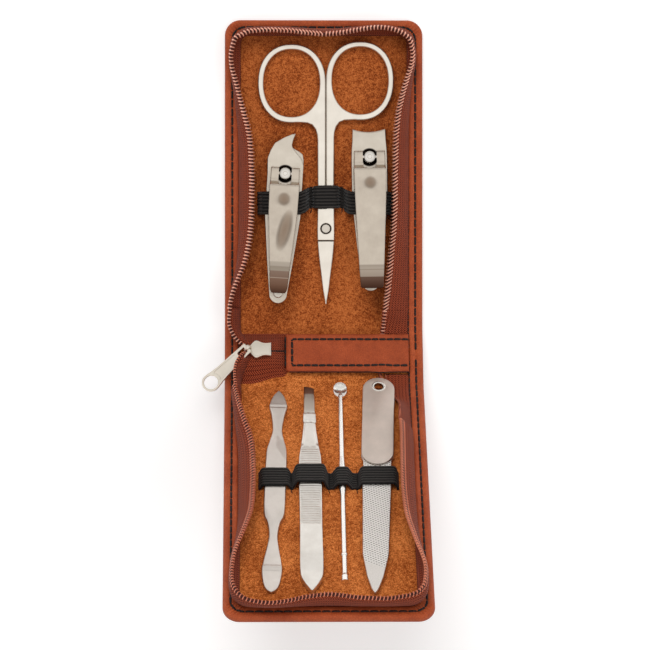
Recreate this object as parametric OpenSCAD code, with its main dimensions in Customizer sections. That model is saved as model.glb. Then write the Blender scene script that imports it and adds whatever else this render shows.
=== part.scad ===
// Folding zip case that holds a set of nail tools.
// The half with the scissors lies flat and the half with the small tools stands raised.
// Millimetres. X is across the case, Y runs from the raised half to the scissors' rings, Z is up.
// The origin is the middle of the flat half's underside.

/* [Case] */
// Outside width of each half
case_w = 69; // [68:0.5:80]
// Length of each half from its fold line to its front edge
panel_l = 106.5; // [106:0.5:120]
// Distance between the two fold lines, which is the inside depth of the closed case
spine_w = 22; // [21.5:0.5:26]
// Angle that the two folds together keep the open case away from flat
open_angle = 46; // [40:1:50]
// Outer corner radius of each half
corner_r = 5.5; // [5:0.5:8]
// Radius of the border's inner corner
inner_r = 3.5; // [2.5:0.5:5]

/* [Layers] */
// Thickness of the outer leather
cover_t = 0.7; // [0.5:0.1:1.2]
// Thickness of the padding
foam_t = 0.4; // [0.3:0.1:1]
// Thickness of the stiffening board
board_t = 0.8; // [0.6:0.1:1.5]
// Thickness of the suede lining
lining_t = 0.5; // [0.3:0.1:0.8]
// Height of the rolled border above the lining
border_h = 0.9; // [0.9:0.1:1.2]
// Width of the rolled border
border_w = 4.9; // [4.5:0.1:5.2]
// Gap between a fold's roll and the seat round it
hinge_gap = 0.15; // [0.1:0.05:0.3]

/* [Zip] */
// Thickness of the zip tape
tape_t = 0.6; // [0.4:0.1:0.8]
// Gap left between the two rows of teeth at the middle of the closed case
zip_clear = 0.25; // [0.15:0.05:0.5]
// Height of a row of teeth
teeth_h = 1.5; // [1.2:0.1:1.8]
// Width of a row of teeth
teeth_w = 1.6; // [1.2:0.1:1.8]
// Share of its full height that the soft tape keeps when it is open
tape_stand = 0.9; // [0.86:0.01:0.92]
// Width of the leather patch over the spine
flap_w = 14; // [12:0.5:15]
// Thickness of the leather patch
flap_t = 1; // [0.8:0.1:1.4]
// Height of the folded tape under the patch
fold_h = 1.8; // [1.5:0.1:2]
// Distance of the patch's free end from the case's middle
flap_end = 13.2; // [12.5:0.1:13.5]

/* [Slider] */
// Length of the slider's body
slider_l = 8; // [7.5:0.1:8.2]
// Width of the slider's body
slider_w = 6.4; // [6:0.1:7]
// Thickness of each of the slider's two plates
slider_plate = 0.8; // [0.6:0.1:1]
// Gap between the slider's plates
slider_gap = 1.9; // [1.8:0.1:2.2]
// Distance of the slider's mouth from the case's middle
slider_mouth = 26.4; // [26:0.1:26.6]
// Height of the slider's lower plate above the border
slider_z = 1.4; // [1.4:0.1:1.8]
// Length of the pull from its hinge to the middle of its end hole
pull_l = 17.4; // [17:0.1:19]
// Width of the pull at its end hole
pull_w = 6.4; // [6:0.1:6.6]
// Diameter of the pull's end hole
pull_hole = 4.9; // [4.5:0.1:5]
// Thickness of the pull
pull_t = 0.9; // [0.7:0.1:1]
// Angle of the pull away from straight across the case
pull_turn = 43; // [42:1:44]
// Slope at which the pull hangs down
pull_droop = 10; // [9:1:11]
// Diameter of the pull's hinge pin
pull_pin = 1; // [0.8:0.1:1.1]

/* [Elastic bands] */
// Width of both elastic bands
band_w = 8; // [6:0.5:8.5]
// Thickness of both elastic bands
band_t = 0.8; // [0.5:0.1:0.9]
// Clearance between a band and the tool it holds
band_gap = 0.1; // [0.05:0.05:0.2]
// Distance of the first band's middle from its fold line
band_y1 = 44.6; // [44:0.1:45]
// Distance of the second band's middle from its fold line
band_y2 = 45.8; // [43:0.1:48]

/* [Scissors] */
// Place of the scissors' rivet across the case
sci_x = 0.7; // [0.5:0.1:0.9]
// Place of the scissors' rivet from the fold line
sci_y = 33.6; // [33:0.1:34.5]
// Distance from the rivet to the middle of the finger rings
ring_y = 51.1; // [50:0.1:52]
// Outside width of a finger ring
ring_w = 23.6; // [23:0.1:24]
// Outside length of a finger ring
ring_l = 27.4; // [26:0.1:28]
// Thickness of a finger ring's rim seen from above
ring_rim = 2.1; // [1.8:0.1:2.6]
// Thickness of each half of the scissors
half_t = 1.2; // [1:0.1:1.3]
// Clearance between the halves
half_gap = 0.1; // [0.08:0.02:0.2]
// Width of each shank
shank_w = 2.75; // [2.2:0.05:2.9]
// Length of the blades from the rivet to the tip
blade_l = 26.3; // [24:0.1:28]
// Width of the blades beside the rivet
blade_w = 5.8; // [5.2:0.1:6.2]
// Diameter of the rivet's shaft
rivet_d = 2; // [1.6:0.1:2.4]
// Diameter of the rivet's visible head
rivet_head = 3.7; // [3.2:0.1:4]
// Radial clearance in the bores of every hinge pin
pin_gap = 0.12; // [0.08:0.02:0.18]

/* [Clippers] */
// Place of the angled clipper's post across the case
ang_x = -13.5; // [-13.8:0.1:-13.2]
// Place of the angled clipper's post from the fold line
ang_y = 52.6; // [52:0.1:53]
// Turn of the angled clipper
ang_turn = -3.4; // [-3.8:0.1:-3]
// Length of the angled clipper behind its post
ang_tail = 45; // [44:0.1:46]
// Length of the angled clipper's beak in front of its post
ang_head = 14.3; // [13.8:0.1:14.4]
// Place of the straight clipper's post across the case
str_x = 15.8; // [15.5:0.1:15.9]
// Place of the straight clipper's post from the fold line
str_y = 58.4; // [58:0.1:58.8]
// Turn of the straight clipper
str_turn = 0.8; // [0.6:0.1:1]
// Length of the straight clipper behind its post
str_tail = 46.4; // [45.6:0.1:46.8]
// Length of the straight clipper's jaw in front of its post
str_head = 10; // [9.6:0.1:10.4]
// Thickness of a clipper leaf
leaf_t = 1.1; // [0.9:0.1:1.2]
// Clearance between the two leaves at the tail
leaf_gap = 0.12; // [0.1:0.02:0.2]
// Height of the upper leaf's underside at the post
leaf_rise = 3.7; // [3.5:0.1:3.8]
// Largest half width of a clipper leaf
leaf_half = 6.2; // [5.8:0.1:6.2]
// Half width of a clipper lever
lever_half = 5.3; // [4.8:0.1:5.5]
// Thickness of a clipper lever
lever_t = 1; // [0.8:0.1:1.2]
// Height of the lever's underside where its plate starts
lever_z = 9.4; // [9.4:0.1:9.8]
// Diameter of a clipper's post
post_d = 3.4; // [3:0.1:3.6]
// Height of the cross pin that the lever tilts on
pin_z = 6.8; // [6.7:0.1:7]
// Diameter of the cross pin
pin_d = 1.2; // [1:0.1:1.4]
// Gap between the cutting edges
jaw_gap = 1.5; // [1.45:0.05:1.7]

/* [Small tools] */
// Length of the cuticle pusher
push_l = 92.6; // [88:0.2:94]
// Place of the cuticle pusher's middle across the case
push_x = 17.2; // [16.8:0.1:17.5]
// Place of the cuticle pusher's tip from the fold line
push_y = 3.5; // [3:0.1:5]
// Thickness of the cuticle pusher's grip
push_t = 2.2; // [1.8:0.1:2.6]
// Length of the tweezers
twz_l = 92.4; // [90:0.2:93]
// Place of the tweezers across the case
twz_x = 5.4; // [5.2:0.1:5.8]
// Place of the tweezers' tips from the fold line
twz_y = 4.2; // [4:0.1:6]
// Thickness of each tweezer leg
leg_t = 0.9; // [0.7:0.1:0.9]
// Largest width of the tweezers
twz_w = 7.6; // [7:0.1:7.8]
// Length of the ear pick
pick_l = 91.6; // [88:0.2:94]
// Place of the ear pick across the case
pick_x = -5.4; // [-5.6:0.1:-5.2]
// Place of the ear pick's scoop from the fold line
pick_y = 0.3; // [0:0.1:2]
// Diameter of the ear pick's stem
pick_d = 1.8; // [1.4:0.1:2]
// Length of the nail file
file_l = 98; // [94:0.5:99]
// Place of the file's handle end across the case
file_x = -18.8; // [-19:0.1:-18.6]
// Place of the file's handle end from the fold line
file_y = -0.2; // [-0.4:0.1:1]
// Turn of the file
file_turn = 2.2; // [2:0.1:2.4]
// Width of the file's handle
grip_w = 10.9; // [10.4:0.1:11]
// Length of the file's handle
grip_l = 41; // [38:0.5:44]
// Thickness of the file's handle
grip_t = 2.2; // [1.9:0.1:2.4]
// Thickness of the file's blade
file_t = 0.9; // [0.7:0.1:1]
// Width of the file's blade at the handle
file_w = 9.5; // [9:0.1:9.8]
// Diameter of the hole in the file's handle
eye_d = 3.1; // [2.6:0.1:3.4]

/* [Hidden] */

e = 0.02; // seam between glued pieces
fold = open_angle/2;
panel_t = cover_t + foam_t + board_t + lining_t + border_h;
seat_r = panel_t + hinge_gap;
core_t = panel_t - border_h; // top of the lining above the underside
fold2 = [0, -panel_l/2 - spine_w*cos(fold), panel_t + spine_w*sin(fold)];
foot_in = border_w + 0.05 + tape_t/2;
foot_x = case_w/2 - foot_in;
foot_l = panel_l - foot_in;
foot_r = inner_r - 0.05 - tape_t/2;
tape_full = spine_w/2 - zip_clear; // tape and teeth, from the border to the middle
sci_z0 = 0.5; // underside of the scissors above the lining
twz_mid = 2; // height at which the tweezers' legs meet
twz_open = 2*twz_mid;
pick_r = 1.3; // swelling in the middle of the ear pick
tail_d = 2; // clippers' tail rivet
split = (tape_full - teeth_h)/tape_full;

module on_base() { translate([0, -panel_l/2, panel_t]) children(); }
module on_spine() { translate([0, -panel_l/2, panel_t]) rotate([fold, 0, 180]) children(); }
module on_lid() { translate(fold2) rotate([open_angle, 0, 180]) children(); }

// ---- shared shapes ----

// Outline of a half, square at the fold and rounded at the front
module outline(inset, r, y0) {
  w = case_w/2 - inset;
  l = panel_l - inset;
  translate([-w, y0]) square([2*w, l - r - y0]);
  translate([-w + r, y0]) square([2*(w - r), l - y0]);
  for (s = [-1, 1]) translate([s*(w - r), l - r]) circle(r = r, $fn = 48);
}

// Space round a fold line
module fold_seat() { rotate([0, 90, 0]) cylinder(r = seat_r, h = case_w + 2, center = true, $fn = 64); }

module panel_cover() {
  difference() {
    translate([0, 0, -panel_t]) linear_extrude(panel_t) outline(0, corner_r, 0);
    translate([0, 0, -panel_t + cover_t]) linear_extrude(panel_t) outline(border_w, inner_r, -1);
    fold_seat();
  }
}

// A flat layer inside the border, between two heights above the underside
module layer(z0, z1) {
  difference() {
    translate([0, 0, z0 - panel_t]) linear_extrude(z1 - z0) outline(border_w + 0.03, inner_r - 0.03, 0.5);
    fold_seat();
  }
}

function smooth(p0, p1, p2, p3, t) = 0.5*(2*p1 + (p2 - p0)*t + (2*p0 - 5*p1 + 4*p2 - p3)*t*t + (3*p1 - p0 - 3*p2 + p3)*t*t*t);
// A smooth run through a list, n steps to each gap
function run(p, n) = let (m = len(p) - 1) concat([for (i = [0:m - 1], k = [0:n - 1])
  smooth(p[max(i - 1, 0)], p[i], p[i + 1], p[min(i + 2, m)], k/n)], [p[m]]);

// Closed skin through a list of rings that all have the same number of points
module skin(rings) {
  n = len(rings[0]);
  m = len(rings);
  polyhedron(points = [for (r = rings, p = r) p],
    faces = concat([[for (i = [0:n - 1]) i]], [[for (i = [n - 1:-1:0]) (m - 1)*n + i]],
      [for (j = [0:m - 2], i = [0:n - 1]) [j*n + (i + 1)%n, j*n + i, (j + 1)*n + i]],
      [for (j = [0:m - 2], i = [0:n - 1]) [j*n + (i + 1)%n, (j + 1)*n + i, (j + 1)*n + (i + 1)%n]]));
}

// The foot of the tape and the way inward, on the first side, a corner, the front, a corner and the last side
function foot(side, at) =
  side == 0 ? [[-foot_x, at*panel_l/100], [1, 0]] :
  side == 1 ? [[-foot_x + foot_r + foot_r*cos(at), foot_l - foot_r + foot_r*sin(at)], [-cos(at), -sin(at)]] :
  side == 2 ? [[at*foot_x/100, foot_l], [0, -1]] :
  side == 3 ? [[foot_x - foot_r + foot_r*cos(at), foot_l - foot_r + foot_r*sin(at)], [-cos(at), -sin(at)]] :
  [[foot_x, at*panel_l/100], [-1, 0]];

function rise(lean) = tape_stand*sqrt(tape_full*tape_full - lean*lean);
function belly(lean) = let (c = norm([lean, rise(lean)])) c*sqrt(0.375*(tape_full/c - 1));
// Place in the tape's own upright section: inward and up
function section(lean, t) = [lean*t - 4*belly(lean)*t*(1 - t), rise(lean)*t];
function at_foot(f, q, side) = [f[0][0] + f[1][0]*(q[0] + side), f[0][1] + f[1][1]*(q[0] + side), q[1]];

function tape_ring(f, lean) = let (levels = [for (t = [0, 0.3, 0.6, split]) section(lean, t)])
  concat([at_foot(f, [0, -border_h], -tape_t/2)], [for (q = levels) at_foot(f, q, -tape_t/2)],
    [for (i = [3:-1:0]) at_foot(f, levels[i], tape_t/2)], [at_foot(f, [0, -border_h], tape_t/2)]);
function teeth_ring(f, lean) = let (a = section(lean, split), b = section(lean, 1), h = teeth_w/2, c = 0.35)
  [at_foot(f, a + [0, e], -h + c), at_foot(f, a + (b - a)*0.3, -h), at_foot(f, b - (b - a)*0.25, -h), at_foot(f, b, -h + c),
   at_foot(f, b, h - c), at_foot(f, b - (b - a)*0.25, h), at_foot(f, a + (b - a)*0.3, h), at_foot(f, a + [0, e], h - c)];

// Each row: side, place along it (per cent, or degrees on a corner), lean inward
base_way = [
  [0, 5.5, -3.3], [0, 9, -2.5], [0, 12, -1.4], [0, 15, 0], [0, 19, 1.9], [0, 24, 3.5], [0, 31, 4.7], [0, 39, 5.1], [0, 50, 5.1],
  [0, 59, 4.6], [0, 64, 3.7], [0, 69, 2.2], [0, 74, 0.7], [0, 79, -0.8], [0, 84, -2.4], [0, 88, -2.7], [0, 91, -2],
  [1, 165, -1.2], [1, 135, 0.3], [1, 105, 0.3],
  [2, -85, 0], [2, -65, -0.4], [2, -40, -0.1], [2, -20, 0.6], [2, 0, 1.1], [2, 20, 0.6], [2, 40, -0.5], [2, 60, -1.4], [2, 75, -1.2], [2, 86, -0.3],
  [3, 75, 0.4], [3, 45, 0.6], [3, 15, 0.1],
  [4, 91, -0.4], [4, 88, -0.9], [4, 84.5, -0.4], [4, 81, 1], [4, 76, 2.7], [4, 70, 4.3], [4, 63, 5.2], [4, 56, 5.5], [4, 46, 5.7], [4, 38, 5.8],
  [4, 31, 6.2], [4, 26, 6.7], [4, 21, 7.2], [4, 16, 7.7], [4, 11, 8.2], [4, 7, 8.8], [4, 4.5, 9]];
lid_way = [
  [4, 9, -1.3], [4, 12, -0.6], [4, 16, 0.2], [4, 20, 1.2], [4, 25, 2.6], [4, 30, 4.2], [4, 37, 5.2], [4, 47, 5.5], [4, 56, 5.3],
  [4, 63, 4.6], [4, 69, 3], [4, 74, 1.4], [4, 80, -0.7], [4, 85, -1.6], [4, 89.5, -1.9],
  [3, 15, -1.8], [3, 45, -2.4], [3, 75, -3.8],
  [2, 88, -4.7], [2, 76, -5.4], [2, 62, -5.6], [2, 46, -5], [2, 30, -3.9], [2, 15, -3.1], [2, 0, -2.7], [2, -15, -3.1], [2, -30, -3.8],
  [2, -48, -4.1], [2, -65, -4.2], [2, -82, -3.5],
  [1, 105, -2.6], [1, 135, -1.9], [1, 165, -1.4],
  [0, 90, -1.7], [0, 86, -1.7], [0, 82, -0.8], [0, 77, 0.8], [0, 71, 2.4], [0, 65, 3.7], [0, 57, 4.4], [0, 49, 4.6], [0, 39, 4.4], [0, 30, 4.2], [0, 24, 4.2]];

function back(p) = [for (i = [len(p) - 1:-1:0]) p[i]];
function stations(way) = run([for (w = way) let (f = foot(w[0], w[1])) [f[0][0], f[0][1], f[1][0], f[1][1], w[2]]], 2);
function unit(v) = v/norm(v);
function as_foot(s) = [[s[0], s[1]], unit([s[2], s[3]])];
module zip_tape(way) { skin([for (s = stations(way)) tape_ring(as_foot(s), s[4])]); }
module zip_teeth(way) { skin([for (s = stations(way)) teeth_ring(as_foot(s), s[4])]); }

// Round-ended bar along +Y from the origin
module bar(w, l) { translate([-w/2, 0]) square([w, l]); translate([0, l]) circle(d = w, $fn = 48); }

// Outline with the half widths of a list of [distance, half width], made smooth
module leaf_shape(rows, n) {
  p = run(rows, n);
  polygon(concat([for (q = p) [q[1], q[0]]], [for (i = [len(p) - 1:-1:0]) [-p[i][1], p[i][0]]]));
}

// Side view, extruded across the case: points are [distance along +Y, height]
module side_view(points, w) { translate([-w, 0, 0]) rotate([90, 0, 90]) linear_extrude(2*w) polygon(points); }

// ---- flat half ----

module base_cover() color([0.62, 0.31, 0.18]) on_base() panel_cover();
module base_padding() color([0.85, 0.82, 0.7]) on_base() layer(cover_t, cover_t + foam_t);
module base_board() color([0.6, 0.5, 0.36]) on_base() layer(cover_t + foam_t, cover_t + foam_t + board_t);
module base_lining() color([0.66, 0.36, 0.15]) on_base() layer(core_t - lining_t, core_t);
module base_zip_tape() color([0.5, 0.2, 0.14]) on_base() zip_tape(back(base_way));
module base_zip_teeth() color([0.8, 0.5, 0.38]) on_base() zip_teeth(back(base_way));

module lid_cover() color([0.62, 0.31, 0.18]) on_lid() panel_cover();
module lid_padding() color([0.85, 0.82, 0.7]) on_lid() layer(cover_t, cover_t + foam_t);
module lid_board() color([0.6, 0.5, 0.36]) on_lid() layer(cover_t + foam_t, cover_t + foam_t + board_t);
module lid_lining() color([0.72, 0.42, 0.2]) on_lid() layer(core_t - lining_t, core_t);
module lid_zip_tape() color([0.5, 0.2, 0.14]) on_lid() zip_tape(lid_way);
module lid_zip_teeth() color([0.8, 0.5, 0.38]) on_lid() zip_teeth(lid_way);

// ---- spine ----

spine_skin = cover_t + foam_t + board_t;

module fold_roll(turn) {
  intersection() {
    rotate([0, 90, 0]) cylinder(r = panel_t, h = case_w, center = true, $fn = 64);
    translate([-case_w/2 - 1, turn > 0 ? 0 : -2*panel_t, -2*panel_t]) cube([case_w + 2, 2*panel_t, 2*panel_t]);
  }
}
module spine_cover() color([0.62, 0.31, 0.18]) on_spine() {
  union() {
    translate([-case_w/2, 0, -panel_t]) cube([case_w, spine_w, spine_skin]);
    for (s = [-1, 1]) translate([s > 0 ? case_w/2 - border_w : -case_w/2, 0, -panel_t]) cube([border_w, spine_w, panel_t]);
    fold_roll(-1);
    translate([0, spine_w, 0]) fold_roll(1);
  }
}
module spine_lining() color([0.66, 0.36, 0.15]) on_spine()
  translate([-case_w/2 + border_w + e, e, -panel_t + spine_skin]) cube([case_w - 2*border_w - 2*e, spine_w - 2*e, lining_t]);

flap_x = case_w/2 - border_w - 0.1;
mid = spine_w/2;
tent = slider_z - 0.2;
// Folded end of the zip tape: flat under the patch, and two slopes beside it
module spine_zip_fold() color([0.5, 0.2, 0.14]) on_spine() {
  translate([-flap_x, mid - flap_w/2 - 1.2, -border_h]) cube([flap_x + flap_end, flap_w + 2.4, fold_h]);
  translate([flap_end - 0.01, 0, 0]) rotate([90, 0, 90]) linear_extrude(foot_x - 2 - flap_end)
    polygon([[mid - flap_w/2 - 1.2, -border_h], [mid + flap_w/2 + 1.2, -border_h], [mid + 2, tent], [mid - 2, tent]]);
}
stub_z = slider_z + slider_plate + (slider_gap - teeth_h)/2;
module spine_zip_teeth() color([0.8, 0.5, 0.38]) on_spine()
  translate([flap_end + 0.1, mid - teeth_w/2, stub_z]) cube([slider_mouth - slider_l + 0.4 - flap_end - 0.1, teeth_w, teeth_h]);
module spine_flap() color([0.64, 0.33, 0.19]) on_spine()
  translate([0, 0, fold_h - border_h]) linear_extrude(flap_t) difference() {
    union() {
      translate([-flap_x, mid - flap_w/2]) square([flap_x + flap_end - 1, flap_w]);
      translate([-flap_x, mid - flap_w/2 + 1]) square([flap_x + flap_end, flap_w - 2]);
      for (s = [-1, 1]) translate([flap_end - 1, mid + s*(flap_w/2 - 1)]) circle(r = 1, $fn = 24);
    }
  }

// ---- slider and pull ----

nose = slider_mouth - slider_l;
lug_z = slider_z + 2*slider_plate + slider_gap;
hinge_z = lug_z + 0.9;
hinge_x = slider_mouth + 0.2;
module slider_plan() {
  polygon([[slider_mouth, mid - 0.9], [slider_mouth, mid + 0.9], [slider_mouth - 2.8, mid + slider_w/2], [nose + 2.2, mid + slider_w/2 - 0.8],
    [nose, mid + slider_w/2 - 0.7], [nose, mid - slider_w/2 + 0.7], [nose + 2.2, mid - slider_w/2 + 0.8], [slider_mouth - 2.8, mid - slider_w/2]]);
}
module zip_slider() color([0.75, 0.74, 0.71]) on_spine() {
  difference() {
    union() {
      translate([0, 0, slider_z]) linear_extrude(slider_plate) slider_plan();
      translate([0, 0, lug_z - slider_plate]) linear_extrude(slider_plate) slider_plan();
      translate([slider_mouth - 2.2, mid - 0.6, slider_z + slider_plate/2]) cube([2.2, 1.2, slider_gap + slider_plate]);
      translate([hinge_x, mid, 0]) rotate([0, 0, pull_turn]) translate([-1.1, -0.8, lug_z - slider_plate]) cube([2, 1.6, hinge_z + 0.9 - lug_z + slider_plate]);
    }
    translate([hinge_x, mid, hinge_z]) rotate([0, 0, pull_turn]) rotate([90, 0, 0]) cylinder(d = pull_pin + 2*pin_gap, h = 6, center = true, $fn = 32);
  }
}
// The pull, laid out along its own +X from the hinge pin
module zip_pull() color([0.78, 0.77, 0.74]) on_spine() translate([hinge_x, mid, hinge_z]) rotate([0, pull_droop, pull_turn]) {
  union() {
    rotate([90, 0, 0]) cylinder(d = pull_pin, h = 3.6, center = true, $fn = 32);
    difference() {
      translate([0, 0, -pull_t/2]) linear_extrude(pull_t) union() {
        polygon([[-0.5, 1.9], [-0.5, -1.9], [pull_l - 6, -pull_w/2 + 0.8], [pull_l, -pull_w/2], [pull_l, pull_w/2], [pull_l - 6, pull_w/2 - 0.8]]);
        translate([pull_l, 0]) circle(d = pull_w, $fn = 64);
      }
      translate([pull_l, 0, -2]) cylinder(d = pull_hole, h = 4, $fn = 64);
      translate([-1, -1.05, -2]) cube([5, 2.1, 4]);
    }
  }
}

// ---- the soft turns of the zip beside the folds ----

// A tape and its teeth along hand-set points [x, y, height, foot x, foot y, foot height]
module soft_turn(way) {
  p = run(way, 3);
  skin([for (q = p) [[q[3], q[4] - 0.3, q[5]], [q[0], q[1] - 0.3, q[2] - teeth_h - e], [q[0], q[1] + 0.3, q[2] - teeth_h - e], [q[3], q[4] + 0.3, q[5]]]]);
}
module soft_teeth(way) {
  p = run(way, 3);
  h = teeth_w/2;
  skin([for (i = [0:len(p) - 1]) let (q = p[i], a = p[max(i - 1, 0)], b = p[min(i + 1, len(p) - 1)], d = unit([b[1] - a[1], a[0] - b[0]]))
    [[q[0] + d[0]*h, q[1] + d[1]*h, q[2] - teeth_h], [q[0] + d[0]*h, q[1] + d[1]*h, q[2]], [q[0] - d[0]*h, q[1] - d[1]*h, q[2]], [q[0] - d[0]*h, q[1] - d[1]*h, q[2] - teeth_h]]]);
}
turn_x = slider_mouth + 0.8;
base_turn = [[-foot_x - 3.3, 5, 9.2], [-foot_x - 3.7, 1, 9.4], [-foot_x - 2.6, -2.6, 9.2], [-foot_x - 0.6, -5.4, 8.8], [-turn_x, -7.4, 8.4]];
lid_turn = [[foot_x + 1.2, 8.8, 9.6], [foot_x + 1.7, 4.4, 9.8], [foot_x + 1.3, -0.2, 10.1], [foot_x - 0.2, -3.8, 10.5]];
module base_zip_turn() color([0.8, 0.5, 0.38]) on_base() soft_teeth(base_turn);
module lid_zip_turn() color([0.8, 0.5, 0.38]) on_lid() soft_teeth(lid_turn);

// End of the zip, which lies flat on the lining below the file's handle
end_h = 0.7;
end_w = 3.5;
end_long = 23;
module lid_zip_end() color([0.5, 0.2, 0.14]) on_lid() translate([0, 0, -border_h]) linear_extrude(end_h)
  polygon([[-foot_x, end_long], [-foot_x + end_w, end_long], [file_x + 1.3, 4], [-foot_x, 4]]);

// ---- elastic bands ----

function offset_at(p, i, d) = let (a = p[max(i - 1, 0)], b = p[min(i + 1, len(p) - 1)], u = i > 0 ? unit(p[i] - a) : unit(b - p[i]), v = i < len(p) - 1 ? unit(b - p[i]) : u,
  n = unit([-u[1] - v[1], u[0] + v[0]]), k = max(0.5, n*[-u[1], u[0]])) p[i] + n*d/k;
// A band over the tools: points are [across, height of its underside above the lining]
module band(points, y) {
  translate([0, y + band_w/2, -border_h]) rotate([90, 0, 0]) linear_extrude(band_w)
    polygon(concat(points, [for (i = [len(points) - 1:-1:0]) offset_at(points, i, band_t)]));
}
leaf_top = leaf_rise + leaf_t;
function leaf_z(d) = leaf_gap + leaf_t + (leaf_top - leaf_t - leaf_gap)*(1 - max(0, d - 6)/34) + 0; // top of the upper leaf, d behind the post
ang_top = leaf_z(ang_y - band_y1 - band_w/2) + band_gap + 0.1;
str_top = leaf_z(str_y - band_y1 - band_w/2) + band_gap + 0.1;
sci_top = sci_z0 + 2*half_t + half_gap + band_gap;
module base_elastic() color([0.07, 0.07, 0.07]) on_base() band([
  [ang_x - 9.8, e], [ang_x - 8.9, e], [ang_x - 7.4, ang_top], [ang_x + 6.4, ang_top], [ang_x + 8, e],
  [sci_x - 4.2, e], [sci_x - shank_w - 0.6, sci_top], [sci_x + shank_w + 0.6, sci_top], [sci_x + 4.4, e],
  [str_x - 8.2, e], [str_x - 6.6, str_top], [str_x + 6.8, str_top], [str_x + 7.6, e], [str_x + 8.4, e]], band_y1);

push_z = push_t + 0.1 + band_gap;
twz_z = twz_open + band_gap + 0.2;
pick_z = 2*pick_r + 0.15 + band_gap;
file_z = end_h + 0.75; // underside of the file's handle above the lining
file_top = file_z + grip_t/2 + file_t/2 + band_gap;
module lid_elastic() color([0.07, 0.07, 0.07]) on_lid() band([
  [file_x - 5, e], [file_x - 3.9, file_top], [file_x + 6.6, file_top], [file_x + 7.7, e],
  [pick_x - 3, e], [pick_x - 1.4, pick_z], [pick_x + 1.4, pick_z], [pick_x + 3, e],
  [twz_x - 5.6, e], [twz_x - twz_w/2 - 0.4, twz_z], [twz_x + twz_w/2 + 0.4, twz_z], [twz_x + 5.6, e],
  [push_x - 5, e], [push_x - 4, push_z], [push_x + 4, push_z], [push_x + 5, e]], band_y2);

// ---- scissors ----

module on_scissors() { on_base() translate([sci_x, sci_y, -border_h]) children(); }
function oval(a, b, n) = [for (i = [0:n - 1]) let (t = 360*i/n, c = cos(t), s = sin(t), k = 2/2.2)
  [a*sign(c)*pow(abs(c), k), b*sign(s)*pow(abs(s), k)]];
// One half seen from above with its ring on the +X side; low is the half-lapped stretch
module half_plan() {
  difference() {
    union() {
      translate([ring_w/2 + half_gap, ring_y]) polygon(oval(ring_w/2, ring_l/2, 72));
      translate([half_gap, 6]) square([shank_w, ring_y - 9]);
      polygon([[half_gap, ring_y - ring_l/2 - 5], [shank_w + half_gap, ring_y - ring_l/2 - 5], [ring_w/2 - 3, ring_y - ring_l/2 + 0.6], [half_gap, ring_y - 5]]);
    }
    translate([ring_w/2 + half_gap, ring_y]) polygon(oval(ring_w/2 - ring_rim, ring_l/2 - ring_rim, 72));
  }
}
// Blade and the crossing over the rivet, on one level
module blade_plan() {
  leaf_shape([[-blade_l, 0.05], [-blade_l + 2, 0.9], [-blade_l*0.74, 1.5], [-blade_l*0.45, blade_w/2 - 0.35], [-blade_l*0.16, blade_w/2], [-1.5, blade_w/2 + 0.1], [3, blade_w/2]], 3);
}
module crossing(side) { polygon([[side > 0 ? half_gap : -shank_w - half_gap, 6.01], [side > 0 ? shank_w + half_gap : -half_gap, 6.01], [blade_w/2, 2.5], [-blade_w/2, 2.5]]); }
module scissor_half(side) {
  z = side > 0 ? sci_z0 + half_t + half_gap : sci_z0;
  difference() {
    union() {
      translate([0, 0, sci_z0]) linear_extrude(2*half_t + half_gap) mirror([side > 0 ? 0 : 1, 0]) half_plan();
      translate([0, 0, z]) linear_extrude(half_t) union() { blade_plan(); crossing(side); }
    }
    translate([0, 0, -1]) cylinder(d = rivet_d + 2*pin_gap, h = 8, $fn = 48);
  }
}
module scissors_left() color([0.72, 0.72, 0.7]) on_scissors() scissor_half(-1);
module scissors_right() color([0.76, 0.76, 0.74]) on_scissors() scissor_half(1);
module scissors_rivet() color([0.82, 0.82, 0.8]) on_scissors() {
  union() {
    translate([0, 0, 0.05]) cylinder(d = rivet_head, h = sci_z0 - 0.15, $fn = 48);
    translate([0, 0, 0.05]) cylinder(d = rivet_d, h = sci_z0 + 2*half_t + half_gap + 0.3, $fn = 48);
    translate([0, 0, sci_z0 + 2*half_t + half_gap + 0.1]) cylinder(d = rivet_head, h = 0.5, $fn = 48);
  }
}

// ---- clippers ----

module on_angled() { on_base() translate([ang_x, ang_y, -border_h]) rotate([0, 0, ang_turn]) children(); }
module on_straight() { on_base() translate([str_x, str_y, -border_h]) rotate([0, 0, str_turn]) children(); }
rivet_back = 3.4;
jaw_low = 1.9;
// Leaf outline; head is a list of points in front of the post
module leaf_plan(tail, head) {
  r = 3.1;
  polygon(concat([[leaf_half, -15], [leaf_half - 1.6, -tail + 15]], [for (t = [0:-15:-180]) [r*cos(t), -tail + r + r*sin(t)]],
    [[-leaf_half + 1.6, -tail + 15], [-leaf_half, -15], [-leaf_half, 4]], head, [[leaf_half, 4]]));
}
module lower_leaf(tail, head_l, head) {
  difference() {
    intersection() {
      side_view([[-tail, 0], [head_l - 4, 0], [head_l, jaw_low - 0.6], [head_l, jaw_low], [head_l - 1, jaw_low], [head_l - 4, leaf_t], [-tail, leaf_t]], 9);
      translate([0, 0, -1]) linear_extrude(9) leaf_plan(tail, head);
    }
    translate([0, 0, -1]) cylinder(d = post_d + 2*pin_gap, h = 5, $fn = 48);
    translate([0, 0, -1]) cylinder(d = post_d + 1.8, h = 1.6, $fn = 48);
    translate([0, -tail + rivet_back, -1]) cylinder(d = tail_d, h = 5, $fn = 32);
  }
}
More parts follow.
